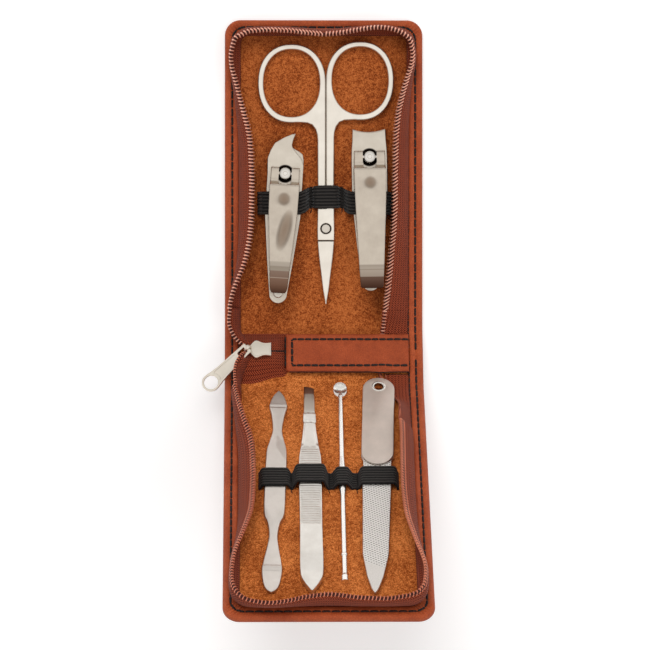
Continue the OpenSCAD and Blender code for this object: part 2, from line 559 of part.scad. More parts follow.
module upper_leaf(tail, head_l, head) {
  z0 = leaf_t + leaf_gap;
  tip = jaw_low + jaw_gap;
  difference() {
    intersection() {
      side_view([[-tail, z0], [-40, z0], [-6, leaf_rise - 0.05], [head_l - 4.4, leaf_rise], [head_l - 1.3, tip], [head_l - 0.3, tip],
        [head_l - 0.3, tip + 0.7], [head_l - 3.6, leaf_top], [-6, leaf_top - 0.05], [-40, z0 + leaf_t], [-tail, z0 + leaf_t]], 9);
      translate([0, 0, -1]) linear_extrude(9) leaf_plan(tail, head);
    }
    translate([0, 0, -1]) cylinder(d = post_d + 0.8, h = 9, $fn = 48);
    translate([0, -tail + rivet_back, -1]) cylinder(d = tail_d + 4*pin_gap, h = 6, $fn = 32);
  }
}
module tail_rivet(tail) {
  translate([0, -tail + rivet_back, 0]) union() {
    translate([0, 0, 0.05]) cylinder(d = tail_d, h = 2*leaf_t + leaf_gap + 0.4, $fn = 32);
    translate([0, 0, 2*leaf_t + leaf_gap + 0.25]) cylinder(d = 3.2, h = 0.5, $fn = 32);
  }
}
module post() {
  difference() {
    union() {
      translate([0, 0, 0.05]) cylinder(d = post_d + 1.4, h = 0.45, $fn = 48);
      translate([0, 0, 0.05]) cylinder(d = post_d, h = pin_z + 1.6, $fn = 48);
    }
    translate([0, 0, pin_z]) rotate([0, 90, 0]) cylinder(d = pin_d + 2*pin_gap, h = 9, center = true, $fn = 32);
  }
}
cam_r = 1.6;
// Lever, with its free end behind the post
module lever(end) {
  slope = 0.0787;
  z1 = lever_z + (end - 4.4)*slope;
  union() {
    difference() {
      intersection() {
        union() {
          side_view([[1.2, pin_z + 0.9], [-1.2, pin_z - 1], [-2.6, pin_z + 0.4], [-4.4, lever_z], [-end + 6, z1 - 6*slope], [-end, z1 + 0.6],
            [-end, z1 + 0.6 + lever_t], [-end + 6, z1 - 6*slope + lever_t], [-4.2, lever_z + lever_t], [-2, pin_z + 2.4]], 9);
          translate([-9, 0, pin_z]) rotate([0, 90, 0]) cylinder(r = cam_r, h = 18, $fn = 48);
        }
        linear_extrude(20) union() {
          polygon([[lever_half, 3], [lever_half, -14], [lever_half - 2.3, -end + 3], [2.6, -end + 2.6], [-2.6, -end + 2.6], [-lever_half + 2.3, -end + 3], [-lever_half, -14], [-lever_half, 3]]);
          translate([0, -end + 2.6]) circle(r = 2.6, $fn = 48);
        }
      }
      translate([-post_d/2 - 0.25, -3.6, 0]) cube([post_d + 0.5, 8, 20]);
    }
    translate([-lever_half + 0.6, 0, pin_z]) rotate([0, 90, 0]) cylinder(d = pin_d, h = 2*lever_half - 1.2, $fn = 32);
  }
}
ang_plan = [[-leaf_half - 0.2, 5.3], [-4.2, ang_head - 3.8], [2.9, ang_head], [1.8, ang_head - 4.4], [5.7, 7.7], [leaf_half, 5.2]];
str_plan = [[-5.9, 5.3], [-5.7, str_head], [-3.8, str_head - 0.6], [-1.6, str_head - 0.95], [0, str_head - 1.05], [1.6, str_head - 0.95], [3.8, str_head - 0.6], [5.7, str_head], [5.9, 5.3]];

module angled_lower_leaf() color([0.7, 0.7, 0.68]) on_angled() lower_leaf(ang_tail, ang_head, ang_plan);
module angled_upper_leaf() color([0.76, 0.76, 0.74]) on_angled() upper_leaf(ang_tail, ang_head, ang_plan);
module angled_post() color([0.82, 0.82, 0.8]) on_angled() post();
module angled_lever() color([0.8, 0.8, 0.78]) on_angled() lever(ang_tail - 3.4);
module angled_tail_rivet() color([0.6, 0.6, 0.58]) on_angled() tail_rivet(ang_tail);
module straight_lower_leaf() color([0.7, 0.7, 0.68]) on_straight() lower_leaf(str_tail, str_head, str_plan);
module straight_upper_leaf() color([0.76, 0.76, 0.74]) on_straight() upper_leaf(str_tail, str_head, str_plan);
module straight_post() color([0.82, 0.82, 0.8]) on_straight() post();
module straight_lever() color([0.8, 0.8, 0.78]) on_straight() lever(str_tail - 0.8);
module straight_tail_rivet() color([0.6, 0.6, 0.58]) on_straight() tail_rivet(str_tail);

// ---- small tools ----

module on_lining(x, y) { on_lid() translate([x, y, -border_h]) children(); }

// Cuticle pusher: a thick grip between two thinner working ends
module cuticle_pusher() color([0.72, 0.72, 0.7]) on_lining(push_x - 1.5, push_y) rotate([0, 0, -1.9]) {
  k = push_l/92.6;
  rows = [[0, 0.1], [3*k, 1.9], [7.9*k, 3.05], [12*k, 2.3], [19.4*k, 1.6], [25*k, 2.6], [30.2*k, 3.45], [44*k, 3.5], [58*k, 3.45], [62*k, 2.2], [67*k, 1.45], [72*k, 1.8], [81.4*k, 3.25], [86*k, 3], [push_l, 0.1]];
  union() {
    translate([0, 0, push_t/2 - 0.4]) linear_extrude(1) leaf_shape(rows, 3);
    intersection() {
      translate([0, 0, 0.1]) linear_extrude(push_t) leaf_shape(rows, 3);
      side_view([[12*k, push_t/2 - 0.4], [30*k, 0.1], [58*k, 0.1], [70*k, push_t/2 - 0.4], [70*k, push_t/2 + 0.6], [58*k, push_t + 0.1], [30*k, push_t + 0.1], [12*k, push_t/2 + 0.6]], 6);
    }
  }
}

twz_rows = [[0, 0.7], [4.5, 1.75], [13.5, 1.9], [20, 2.2], [29, 3.1], [37, twz_w/2], [64, twz_w/2 - 0.1], [83, twz_w/2], [88, 2.8], [twz_l, 0.3]];
module leg_plan() {
  difference() {
    leaf_shape(twz_rows, 3);
    polygon([[-3, -1], [3, -1], [3, 0.2], [-3, 3.4]]);
  }
}
module tweezer_lower_leg() color([0.7, 0.7, 0.68]) on_lining(twz_x, twz_y) intersection() {
  linear_extrude(9) leg_plan();
  side_view([[0, 0.3], [58, 0.1], [76, 0.4], [84, twz_mid - 0.05 - leg_t], [twz_l, twz_mid - 0.05 - leg_t], [twz_l, twz_mid - 0.05], [84, twz_mid - 0.05], [76, 0.4 + leg_t], [58, 0.1 + leg_t], [6, 0.1 + leg_t], [0, 0.9]], 6);
}
module tweezer_upper_leg() color([0.75, 0.75, 0.73]) on_lining(twz_x, twz_y) intersection() {
  linear_extrude(9) leg_plan();
  side_view([[0, 3.4], [6, 2*twz_mid - 0.7], [58, 2*twz_mid - 0.1 - leg_t], [76, 2*twz_mid - 0.4 - leg_t], [84, twz_mid + 0.05], [twz_l, twz_mid + 0.05], [twz_l, twz_mid + 0.05 + leg_t], [84, twz_mid + 0.05 + leg_t],
    [76, 2*twz_mid - 0.4], [58, 2*twz_mid - 0.1], [6, 2*twz_mid + 0.1], [0, 4]], 6);
}

module ear_pick() color([0.76, 0.76, 0.74]) on_lining(pick_x, pick_y) union() {
  r = pick_d/2;
  translate([0, 5.6, pick_r + 0.1]) rotate([-90, 0, 0]) rotate_extrude($fn = 48) polygon([[0, 0], [r - 0.2, 0], [r, 1], [r, 30], [pick_r, 35], [pick_r, 43], [r, 48], [r, pick_l - 18],
    [r + 0.25, pick_l - 17.6], [r + 0.25, pick_l - 17], [r, pick_l - 16.6], [r, pick_l - 9], [r + 0.3, pick_l - 8], [r + 0.3, pick_l - 5.8], [0, pick_l - 5.6]]);
  translate([0, 3.6, pick_r - 0.3]) difference() {
    linear_extrude(0.9) polygon(oval(2.3, 3.6, 40));
    translate([0, -0.3, 5.1]) sphere(r = 4.8, $fn = 64);
  }
}

module on_file() { on_lining(file_x, file_y) rotate([0, 0, -file_turn]) translate([0, 0, file_z]) children(); }
module file_blade() color([0.68, 0.68, 0.66]) on_file() translate([0, 0, grip_t/2 - file_t/2]) difference() {
  linear_extrude(file_t) polygon([[file_w/2, 1.2 + 8], [file_w/2, 52], [file_w/2 - 0.5, file_l*0.83], [2.6, file_l*0.93], [0.5, file_l], [-0.5, file_l], [-2.6, file_l*0.93], [-file_w/2 + 0.5, file_l*0.83], [-file_w/2, 52], [-file_w/2, 1.2 + 8]]);
}
// Folded metal grip: a flat sleeve with round ends
module grip_plan(in) { translate([0, grip_w/2]) circle(d = grip_w - 2*in, $fn = 64); translate([0, grip_l - grip_w/2]) circle(d = grip_w - 2*in, $fn = 64);
  translate([-grip_w/2 + in, grip_w/2]) square([grip_w - 2*in, grip_l - grip_w]); }
module file_handle() color([0.74, 0.74, 0.72]) on_file() difference() {
  linear_extrude(grip_t) grip_plan(0);
  translate([-file_w/2 - 0.05, 9, grip_t/2 - file_t/2 - 0.03]) cube([file_w + 0.1, grip_l, file_t + 0.06]);
  translate([0, 4.3, -1]) cylinder(d = eye_d + 0.8, h = 5, $fn = 48);
}
module file_eyelet() color([0.85, 0.85, 0.83]) on_file() translate([0, 4.3, 0]) difference() {
  union() {
    translate([0, 0, -0.2]) cylinder(d = eye_d + 0.76, h = grip_t + 0.4, $fn = 48);
    translate([0, 0, -0.2]) cylinder(d = eye_d + 1.8, h = 0.19, $fn = 48);
    translate([0, 0, grip_t + 0.01]) cylinder(d = eye_d + 1.8, h = 0.19, $fn = 48);
  }
  translate([0, 0, -1]) cylinder(d = eye_d, h = 5, $fn = 48);
}

base_cover();
base_padding();
base_board();
base_lining();
base_zip_tape();
base_zip_teeth();
base_zip_turn();
base_elastic();
lid_cover();
lid_padding();
lid_board();
lid_lining();
lid_zip_tape();
lid_zip_teeth();
lid_zip_turn();
lid_zip_end();
lid_elastic();
spine_cover();
spine_lining();
spine_zip_fold();
spine_zip_teeth();
spine_flap();
zip_slider();
zip_pull();
scissors_left();
scissors_right();
scissors_rivet();
angled_lower_leaf();
angled_upper_leaf();
angled_post();
angled_lever();
angled_tail_rivet();
straight_lower_leaf();
straight_upper_leaf();
straight_post();
straight_lever();
straight_tail_rivet();
cuticle_pusher();
tweezer_lower_leg();
tweezer_upper_leg();
ear_pick();
file_blade();
file_handle();
file_eyelet();
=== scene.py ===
import math

import bmesh
import bpy
import numpy as np
from mathutils import Matrix, Vector, noise


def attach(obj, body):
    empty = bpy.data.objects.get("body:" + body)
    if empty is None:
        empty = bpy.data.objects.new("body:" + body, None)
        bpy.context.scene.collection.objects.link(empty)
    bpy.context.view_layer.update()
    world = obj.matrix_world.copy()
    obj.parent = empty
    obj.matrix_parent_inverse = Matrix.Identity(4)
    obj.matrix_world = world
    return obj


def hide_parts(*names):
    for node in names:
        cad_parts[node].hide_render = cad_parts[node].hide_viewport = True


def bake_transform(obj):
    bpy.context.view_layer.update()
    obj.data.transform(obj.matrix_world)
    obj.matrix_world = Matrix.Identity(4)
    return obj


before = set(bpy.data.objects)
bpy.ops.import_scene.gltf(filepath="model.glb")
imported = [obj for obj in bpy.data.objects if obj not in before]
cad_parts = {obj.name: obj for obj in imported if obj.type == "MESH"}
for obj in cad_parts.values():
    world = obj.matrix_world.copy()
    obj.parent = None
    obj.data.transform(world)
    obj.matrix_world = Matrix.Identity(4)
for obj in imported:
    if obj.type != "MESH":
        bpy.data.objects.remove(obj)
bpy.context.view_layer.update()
print("frame loaded,", len(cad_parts), "nodes")

# lengths are written in millimetres and scaled once, when a mesh is made
mm = 0.001
case = dict(width=69, length=106.5, spine=22, foldAngle=23, thick=3.3, borderWidth=4.9, borderHeight=0.9,
            cornerRadius=5.5, innerRadius=3.5, bend=5)
foldCos = math.cos(math.radians(case["foldAngle"]))
foldSin = math.sin(math.radians(case["foldAngle"]))
lidCos = math.cos(math.radians(2 * case["foldAngle"]))
lidSin = math.sin(math.radians(2 * case["foldAngle"]))
baseFold = np.array([0, -case["length"] / 2, case["thick"]])
lidFold = baseFold + case["spine"] * np.array([0, -foldCos, foldSin])


def spin(degrees, axis):
    return Matrix.Rotation(math.radians(degrees), 4, axis)


onBase = Matrix.Translation(baseFold)
onSpine = Matrix.Translation(baseFold) @ spin(180, "Z") @ spin(case["foldAngle"], "X")
onLid = Matrix.Translation(lidFold) @ spin(180, "Z") @ spin(2 * case["foldAngle"], "X")


def tint(r, g, b):
    # an sRGB colour, 0 to 255, as the linear one that a shader takes
    return tuple(c / 3294.6 if c <= 10.3 else ((c / 255 + 0.055) / 1.055) ** 2.4 for c in (r, g, b)) + (1,)


def shaderColour(value):
    # from a grey level, an sRGB colour, or a linear colour with its alpha
    if not isinstance(value, tuple):
        return (value,) * 3 + (1,)
    return tint(*value) if len(value) == 3 else value


def ripple(x, y, z):
    return noise.noise(Vector((x, y, z)))


def smoothStep(t):
    t = np.clip(t, 0, 1)
    return t * t * (3 - 2 * t)


class Wire:
    # a socket that can be used in sums
    def __init__(self, finish, socket):
        self.finish = finish
        self.socket = socket

    def math(self, operation, *others):
        values = dict(enumerate((self,) + others))
        return self.finish.node("ShaderNodeMath", {"operation": operation}, values)

    def swapped(self, operation, other):
        return self.finish.node("ShaderNodeMath", {"operation": operation}, {0: other, 1: self})

    def __add__(self, other):
        return self.math("ADD", other)

    def __radd__(self, other):
        return self.swapped("ADD", other)

    def __sub__(self, other):
        return self.math("SUBTRACT", other)

    def __rsub__(self, other):
        return self.swapped("SUBTRACT", other)

    def __mul__(self, other):
        return self.math("MULTIPLY", other)

    def __rmul__(self, other):
        return self.swapped("MULTIPLY", other)

    def __truediv__(self, other):
        return self.math("DIVIDE", other)

    def __rtruediv__(self, other):
        return self.swapped("DIVIDE", other)


class Finish:
    # a material: constant shader values are set directly, the rest comes in through wires
    def __init__(self, name, **constants):
        self.material = bpy.data.materials.new(name)
        self.material.use_nodes = True
        self.tree = self.material.node_tree
        self.tree.nodes.clear()
        self.output = self.tree.nodes.new("ShaderNodeOutputMaterial")
        self.shader = self.tree.nodes.new("ShaderNodeBsdfPrincipled")
        self.tree.links.new(self.shader.outputs[0], self.output.inputs[0])
        for key, value in constants.items():
            self.shader.inputs[key.replace("_", " ")].default_value = value

    def join(self, socket, value):
        if isinstance(value, Wire):
            self.tree.links.new(value.socket, socket)
        else:
            socket.default_value = value

    def node(self, kind, settings=None, inputs=None, output=0):
        made = self.tree.nodes.new(kind)
        for key, value in (settings or {}).items():
            if key == "stops":
                while len(made.color_ramp.elements) < len(value):
                    made.color_ramp.elements.new(0.5)
                for element, (place, colour) in zip(made.color_ramp.elements, value):
                    element.position = place
                    element.color = shaderColour(colour)
            else:
                setattr(made, key, value)
        for key, value in (inputs or {}).items():
            self.join(made.inputs[key], value)
        return Wire(self, made.outputs[output])

    def place(self, turn=0, stretch=(1, 1, 1)):
        spot = self.node("ShaderNodeTexCoord", output="Object")
        return self.node("ShaderNodeMapping", {}, {"Vector": spot, "Rotation": (0, 0, turn),
                                                   "Scale": stretch})

    def uv(self):
        # the two places on the mesh's own map, in metres
        spot = self.node("ShaderNodeTexCoord", output="UV")
        return [self.node("ShaderNodeSeparateXYZ", {}, {0: spot}, part) for part in (0, 1)]

    def cloud(self, spot, size, detail=3, rough=0.5, distortion=0):
        # soft noise whose lumps are about size millimetres wide
        values = {"Vector": spot, "Scale": 1 / (size * mm), "Detail": detail, "Roughness": rough}
        return self.node("ShaderNodeTexNoise", {}, {**values, "Distortion": distortion})

    def ramp(self, value, stops):
        return self.node("ShaderNodeValToRGB", {"stops": stops}, {0: value})

    def blend(self, amount, first, second, how="MIX"):
        return self.node("ShaderNodeMix", {"data_type": "RGBA", "blend_type": how},
                         {0: amount, 6: first, 7: second}, output=2)

    def relief(self, height, strength, depth):
        # depth is in millimetres
        bump = self.node("ShaderNodeBump", {}, {"Height": height, "Strength": strength,
                                                "Distance": depth * mm})
        self.join(self.shader.inputs["Normal"], bump)

    def brushed(self, light, dark, size):
        # fine lines along the tool, smears of that size, and the colour that both give
        lines = self.cloud(self.place(0, (1, 0.02, 1)), 0.09, 3, 0.6)
        smear = self.cloud(self.place(), size, 3, 0.6)
        self.relief(lines, 0.12, 0.03)
        return lines, smear, self.ramp(smear * 0.6 + lines * 0.25, [(0.25, dark), (0.65, light)])

    def paint(self, colour, roughness):
        self.join(self.shader.inputs["Base Color"], colour)
        self.join(self.shader.inputs["Roughness"], roughness)
        return self.material


def leatherFinish(name, light, dark, grain=0.8):
    f = Finish(name, Specular_IOR_Level=0.3)
    spot = f.place()
    drift = f.node("ShaderNodeTexNoise", {}, {"Vector": spot, "Scale": 900, "Detail": 2}, output=1)
    drift = f.node("ShaderNodeVectorMath", {"operation": "SCALE"}, {0: drift, "Scale": 0.0006})
    wobbly = f.node("ShaderNodeVectorMath", {"operation": "ADD"}, {0: spot, 1: drift})
    pebble = f.node("ShaderNodeTexVoronoi", {"feature": "DISTANCE_TO_EDGE"},
                    {"Vector": wobbly, "Scale": 1 / (grain * mm)})
    dome = f.ramp(pebble, [(0, 0.0), (0.12, 0.7), (0.4, 1.0)])
    patches = f.cloud(spot, 16, 4, 0.6)
    fine = f.cloud(spot, 0.28, 3, 0.6)
    crease = f.cloud(f.place(0.9, (1, 0.28, 1)), 1.9, 3, 0.55, 0.4)
    wear = f.cloud(spot, 4.5, 3, 0.6)
    tone = f.ramp(patches * 0.55 + wear * 0.45, [(0.3, dark), (0.68, light)])
    # painted shade: the grooves between the pebbles and the creases are painted darker
    shade = f.ramp(dome * 0.6 + fine * 0.4, [(0.1, (0.62, 0.56, 0.54, 1)), (0.75, (1, 1, 1, 1))])
    f.relief(dome * 0.7 + fine * 0.5 + crease * 1.1, 0.6, 0.14)
    shade = f.blend(0.4, shade, f.ramp(crease, [(0.38, 0.8), (0.62, 1.0)]), "MULTIPLY")
    return f.paint(f.blend(0.85, tone, shade, "MULTIPLY"), 0.42 + fine * 0.3)


def suedeFinish(name, light, middle, dark):
    f = Finish(name, Specular_IOR_Level=0.12, Sheen_Weight=0.18, Sheen_Roughness=0.6,
               Sheen_Tint=tint(235, 170, 110))
    spot = f.place()
    nap = f.cloud(spot, 0.42, 4, 0.8)
    tuft = f.cloud(spot, 1.3, 3, 0.6)
    brushed = f.cloud(f.place(0.5, (1, 0.35, 1)), 11, 3, 0.5)
    mixed = nap * 0.62 + tuft * 0.22 + brushed * 0.16
    colour = f.ramp(mixed, [(0.43, dark), (0.5, middle), (0.57, light)])
    f.relief(nap * 0.7 + tuft * 0.5, 0.8, 0.16)
    return f.paint(colour, 0.92)


def tapeFinish(name, light, dark, deep):
    # woven in a herringbone: u runs along the tape and v across it
    f = Finish(name, Specular_IOR_Level=0.2, Sheen_Weight=0.04)
    weave = dict(column=1.15, pitch=0.78)
    along, across = f.uv()
    zig = across.math("PINGPONG", weave["column"] * mm)
    strand = ((along + zig * 1.1) * (2 * math.pi / (weave["pitch"] * mm))).math("SINE") * 0.5 + 0.5
    turn = f.ramp(zig / (weave["column"] * mm), [(0, 0.35), (0.16, 1.0), (0.84, 1.0), (1, 0.35)])
    fuzz = f.cloud(f.place(), 0.5, 3, 0.7)
    height = strand * turn
    # painted shade: the strands are painted darker where they dip, between them and at the herringbone's
    # turns
    colour = f.ramp(height * 0.8 + fuzz * 0.35, [(0.15, deep), (0.5, dark), (0.95, light)])
    f.relief(height + fuzz * 0.2, 0.8, 0.15)
    return f.paint(colour, 0.8)


def threadFinish(name, colour, lit, size=0.5):
    f = Finish(name, Specular_IOR_Level=0.35)
    ply = f.node("ShaderNodeTexWave", {"wave_type": "BANDS", "bands_direction": "DIAGONAL"},
                 {"Vector": f.place(), "Scale": 1 / (size * mm) / 3, "Distortion": 1.5})
    f.relief(ply, 0.6, 0.08)
    # painted highlight: the plies' raised bands take the lighter lit colour
    return f.paint(f.ramp(ply, [(0.2, colour), (0.9, lit)]), 0.68)


def elasticFinish(name):
    # covered rubber: fine wraps across each rib
    f = Finish(name, Specular_IOR_Level=0.3, Sheen_Weight=0.1)
    wraps = dict(pitch=0.42, ribs=7, width=8)
    along, across = f.uv()
    wrap = ((along + across * 0.6) * (2 * math.pi / (wraps["pitch"] * mm))).math("SINE") * 0.5 + 0.5
    rib = (across * (math.pi * wraps["ribs"] / (wraps["width"] * mm))).math("SINE").math("ABSOLUTE")
    lint = f.cloud(f.place(), 0.7, 4, 0.7)
    f.relief(wrap * 0.8 + lint * 0.4, 0.7, 0.08)
    # painted shade and highlight: the valleys between the ribs are painted near black and the rib tops
    # lighter
    tone = rib * 0.75 + wrap * 0.1 + lint * 0.15
    colour = f.ramp(tone, [(0.3, (5, 4, 4)), (0.62, (24, 21, 20)), (0.9, (50, 46, 43))])
    return f.paint(colour, 0.7)


def steelFinish(name, light, dark, rough, turn=0.0, brush=0.5, stretch=(1, 0.02, 1)):
    # brushed along the tool's length, with a few soft smears
    f = Finish(name, Metallic=1.0)
    lines = f.cloud(f.place(turn, stretch), 0.09, 3, 0.6)
    smear = f.cloud(f.place(turn), 6, 3, 0.6)
    f.relief(lines, 0.25 * brush, 0.03)
    tone = smear * 0.5 + lines * 0.5 * brush + 0.25 * (1 - brush)
    return f.paint(f.ramp(tone, [(0.25, dark), (0.7, light)]), rough + lines * 0.16 * brush + smear * 0.06)


def bandedFinish(name, light, dark, paintedEndBands, shadedHollows=()):
    # steel with painted reflections, darker or lighter bands at one end; v is the distance from that end
    f = Finish(name, Metallic=1.0)
    side, back = f.uv()
    lines, smear, plain = f.brushed(light, dark, 5)
    span = paintedEndBands[-1][0]
    shade = f.ramp(back / (span * mm), [(at / span, colour) for at, colour in paintedEndBands])
    ends = f.ramp(back / (span * mm), [(0.0, 1.0), (0.93, 1.0), (0.99, 0.0)])
    # painted shade: the pressed hollows are painted a duller brown grey, for the dark reflection in them:
    # (x, distance, half width, half length, slant)
    for x, spot, wide, long, slant in shadedHollows:
        off = back - spot * mm
        across = (side - x * mm + off * slant) * (1 / (wide * mm))
        run = off * (1 / (long * mm))
        inside = f.ramp(across * across + run * run, [(0.0, 1.0), (0.45, 0.75), (1.0, 0.0)])
        plain = f.blend(inside * 0.78, plain, tint(124, 100, 80))
    return f.paint(f.blend(ends, plain, shade), 0.26 + lines * 0.08 + smear * 0.06)


def leafPaintedShadowFinish(name, light, dark, back, reach):
    # satin steel with a painted shadow, dark close round the post, where the lever shades the leaf
    f = Finish(name, Metallic=1.0)
    x, y = f.uv()
    y = y - back * mm
    far = (x * x + y * y).math("SQRT")
    lines, plain = f.brushed(light, dark, 6)[::2]
    # near is the painted shadow round the post, full within reach and none beyond
    near = f.ramp(far / (10 * mm), [(reach / 10, 1.0), (reach / 10 + 0.04, 0.0)])
    return f.paint(f.blend(near, plain, tint(26, 19, 15)), 0.28 + lines * 0.1 + near * 0.4)


def fileFinish(name):
    # two sets of cuts that cross, and a smooth point; u and v are the blade's own x and y
    f = Finish(name, Metallic=1.0)
    x, y = f.uv()
    pitch = 2 * math.pi / (0.86 * mm)
    one = ((x * 0.42 + y * 0.9) * pitch).math("SINE")
    other = ((x * 0.62 - y * 0.78) * pitch).math("SINE")
    cut = one.math("MAXIMUM", other * 0.8) * 0.5 + 0.5
    grit = f.cloud(f.place(), 0.3, 3, 0.6)
    cutPart = f.ramp((y + x * 0.35) / (100 * mm), [(0.782, 1.0), (0.787, 0.0)])
    f.relief(cut * cutPart + grit * 0.15, 0.7, 0.12)
    # painted shade and highlight: the cuts are painted dark in their grooves and light on their ridges
    rough = f.ramp(cut * 0.8 + grit * 0.3, [(0.35, (158, 152, 146)), (0.9, (250, 247, 243))])
    plain = f.ramp(grit, [(0.3, (214, 208, 202)), (0.7, (232, 227, 222))])
    return f.paint(f.blend(cutPart, plain, rough), 0.34 + grit * 0.2)


# colours from one end of a tool: (distance in millimetres, colour); on the levers they are painted
# reflections of the turned-up end, dark bands with thin painted highlights at the bends, and the tweezer
# tips are darker
paintedEndBands = {
    "angled": [
        (0, (74, 48, 36)), (2, (110, 80, 64)), (5.1, (130, 102, 86)), (5.2, (176, 158, 142)),
        (5.5, (128, 104, 90)), (7.6, (136, 114, 100)), (7.8, (158, 146, 132)),
        (9.2, (150, 138, 124)), (9.4, (172, 160, 147)), (10.8, (176, 165, 151)),
        (11.4, (206, 195, 181))],
    "straight": [
        (0, (66, 42, 32)), (1.6, (90, 64, 52)), (3.9, (108, 84, 72)), (4.0, (164, 148, 134)),
        (6.2, (172, 158, 144)), (6.4, (150, 136, 122)), (6.8, (176, 163, 149)),
        (7.9, (164, 151, 138)), (8.1, (184, 172, 158)), (8.6, (206, 195, 181))],
    "tweezer": [
        (0, (96, 62, 48)), (3.4, (122, 88, 74)), (4.2, (172, 158, 146)), (11, (194, 184, 173)),
        (14, (228, 222, 214))]}

finishes = {
    "leather": leatherFinish("grainedLeather", (190, 92, 50), (152, 62, 28)),
    "patch": leatherFinish("patchLeather", (178, 82, 44), (148, 62, 30), 0.6),
    # painted light: one suede, as a darker copy on the flat half and a lighter copy on the raised half
    "suedeDarkerCopy": suedeFinish("suedeFlatHalfPaintedDarker", (194, 110, 56), (156, 78, 34), (106, 44, 14)),
    "suedeLighterCopy": suedeFinish("suedeRaisedHalfPaintedLighter", (226, 138, 72), (184, 98, 44), (124, 56, 17)),
    "tape": tapeFinish("herringboneTape", (176, 84, 52), (110, 38, 20), (42, 10, 4)),
    "thread": threadFinish("blackThread", (10, 9, 9), (38, 34, 33)),
    "elastic": elasticFinish("ribbedElastic"),
    # painted light: one copper for all teeth, as a lighter pink copy on the flat half and a darker red copy
    # on the raised half and the spine
    "teethPaintedLighter": steelFinish("pinkCopperTeethPaintedLighter", (252, 196, 172), (214, 138, 112), 0.26, 0, 0.3),
    "teethPaintedDarker": steelFinish("redCopperTeethPaintedDarker", (244, 158, 128), (196, 112, 84), 0.3, 0, 0.3),
    "scissors": steelFinish("scissorsSteel", (250, 243, 232), (222, 214, 202), 0.3),
    "pick": steelFinish("pickSteel", (254, 252, 248), (244, 240, 234), 0.22, 0, 0.04),
    "satin": steelFinish("satinSteel", (226, 218, 206), (196, 188, 176), 0.3),
    "bright": steelFinish("brightSteel", (238, 234, 228), (214, 208, 200), 0.14, 0, 0.25),
    "leverAngled": bandedFinish("angledLeverSteel", (214, 203, 188), (190, 178, 164), paintedEndBands["angled"],
                                [(0.9, 21.8, 2.5, 7.6, -0.18), (0.1, 32.6, 2.3, 2.5, 0)]),
    "leverStraight": bandedFinish("straightLeverSteel", (214, 203, 188), (190, 178, 164), paintedEndBands["straight"],
                                  [(0, 36.6, 2.3, 2.3, 0)]),
    "tweezer": bandedFinish("tweezerSteel", (246, 242, 236), (222, 216, 208), paintedEndBands["tweezer"]),
    "tool": steelFinish("smallToolSteel", (234, 227, 220), (204, 195, 187), 0.32),
    "handle": steelFinish("handleSteel", (228, 214, 204), (198, 187, 177), 0.38),
    "file": fileFinish("cutSteel"),
    "bead": threadFinish("woundBead", (44, 12, 7), (80, 27, 15), 0.7),
    "leafAngled": leafPaintedShadowFinish("angledLeafSteelPaintedShadow", (224, 215, 202), (202, 192, 178), 45, 2.9),
    "leafStraight": leafPaintedShadowFinish("straightLeafSteelPaintedShadow", (224, 215, 202), (202, 192, 178), 46.4, 2.9),
    # painted shade: near black steel for dark pieces set where there is only shade
    "shade": steelFinish("paintedShadeSteel", (64, 54, 48), (34, 27, 23), 0.5),
    "fold": threadFinish("foldedTape", (118, 50, 32), (166, 88, 62), 1.0),
    "slider": steelFinish("sliderMetal", (242, 234, 220), (216, 206, 192), 0.3, 0.8, 0.4, (1, 0.3, 1)),
    "padding": suedeFinish("feltPadding", (220, 214, 196), (200, 190, 168), (170, 160, 138)),
}
print("finishes made:", len(finishes))


def putIn(made):
    bpy.context.scene.collection.objects.link(made)


def addMesh(name, points, faces, finish, uv=None):
    mesh = bpy.data.meshes.new(name)
    mesh.from_pydata([tuple(float(c) * mm for c in p) for p in points], [], faces)
    if uv is not None:
        layer = mesh.uv_layers.new(name="UVMap")
        loops = np.array([loop.vertex_index for loop in mesh.loops])
        layer.data.foreach_set("uv", (np.asarray(uv, float)[loops] * mm).ravel())
    mesh.materials.append(finishes[finish] if isinstance(finish, str) else finish)
    mesh.polygons.foreach_set("use_smooth", [True] * len(mesh.polygons))
    mesh.update()
    piece = bpy.data.objects.new(name, mesh)
    putIn(piece)
    return piece


def tidyMesh(piece, weld=0.0):
    # welds what lies within that distance, and turns every face outwards
    work = bmesh.new()
    work.from_mesh(piece.data)
    if weld:
        bmesh.ops.remove_doubles(work, verts=work.verts, dist=weld * mm)
    bmesh.ops.recalc_face_normals(work, faces=work.faces)
    work.to_mesh(piece.data)
    work.free()
    return piece


def gridFaces(rows, columns, closed=False, first=0):
    faces = []
    span = columns if closed else columns - 1
    for i in range(rows - 1):
        for j in range(span):
            k = (j + 1) % columns
            faces.append((first + i * columns + j, first + i * columns + k,
                          first + (i + 1) * columns + k, first + (i + 1) * columns + j))
    return faces


def tubeFaces(rows, columns, first=0):
    # rings joined into a closed body, with both ends capped
    faces = gridFaces(rows, columns, True, first)
    faces.append(tuple(first + j for j in reversed(range(columns))))
    faces.append(tuple(first + (rows - 1) * columns + j for j in range(columns)))
    return faces


def sheetFaces(rows, columns):
    # two layers of a grid, the lower one listed after the upper, joined round the rim
    count = rows * columns
    faces = gridFaces(rows, columns)
    faces += [tuple(count + i for i in reversed(face)) for face in faces]
    rim = list(range(columns)) + [i * columns + columns - 1 for i in range(1, rows)]
    rim += [(rows - 1) * columns + j for j in reversed(range(columns - 1))]
    rim += [i * columns for i in reversed(range(1, rows - 1))]
    return faces + [(b, a, a + count, b + count) for a, b in zip(rim, rim[1:] + rim[:1])]


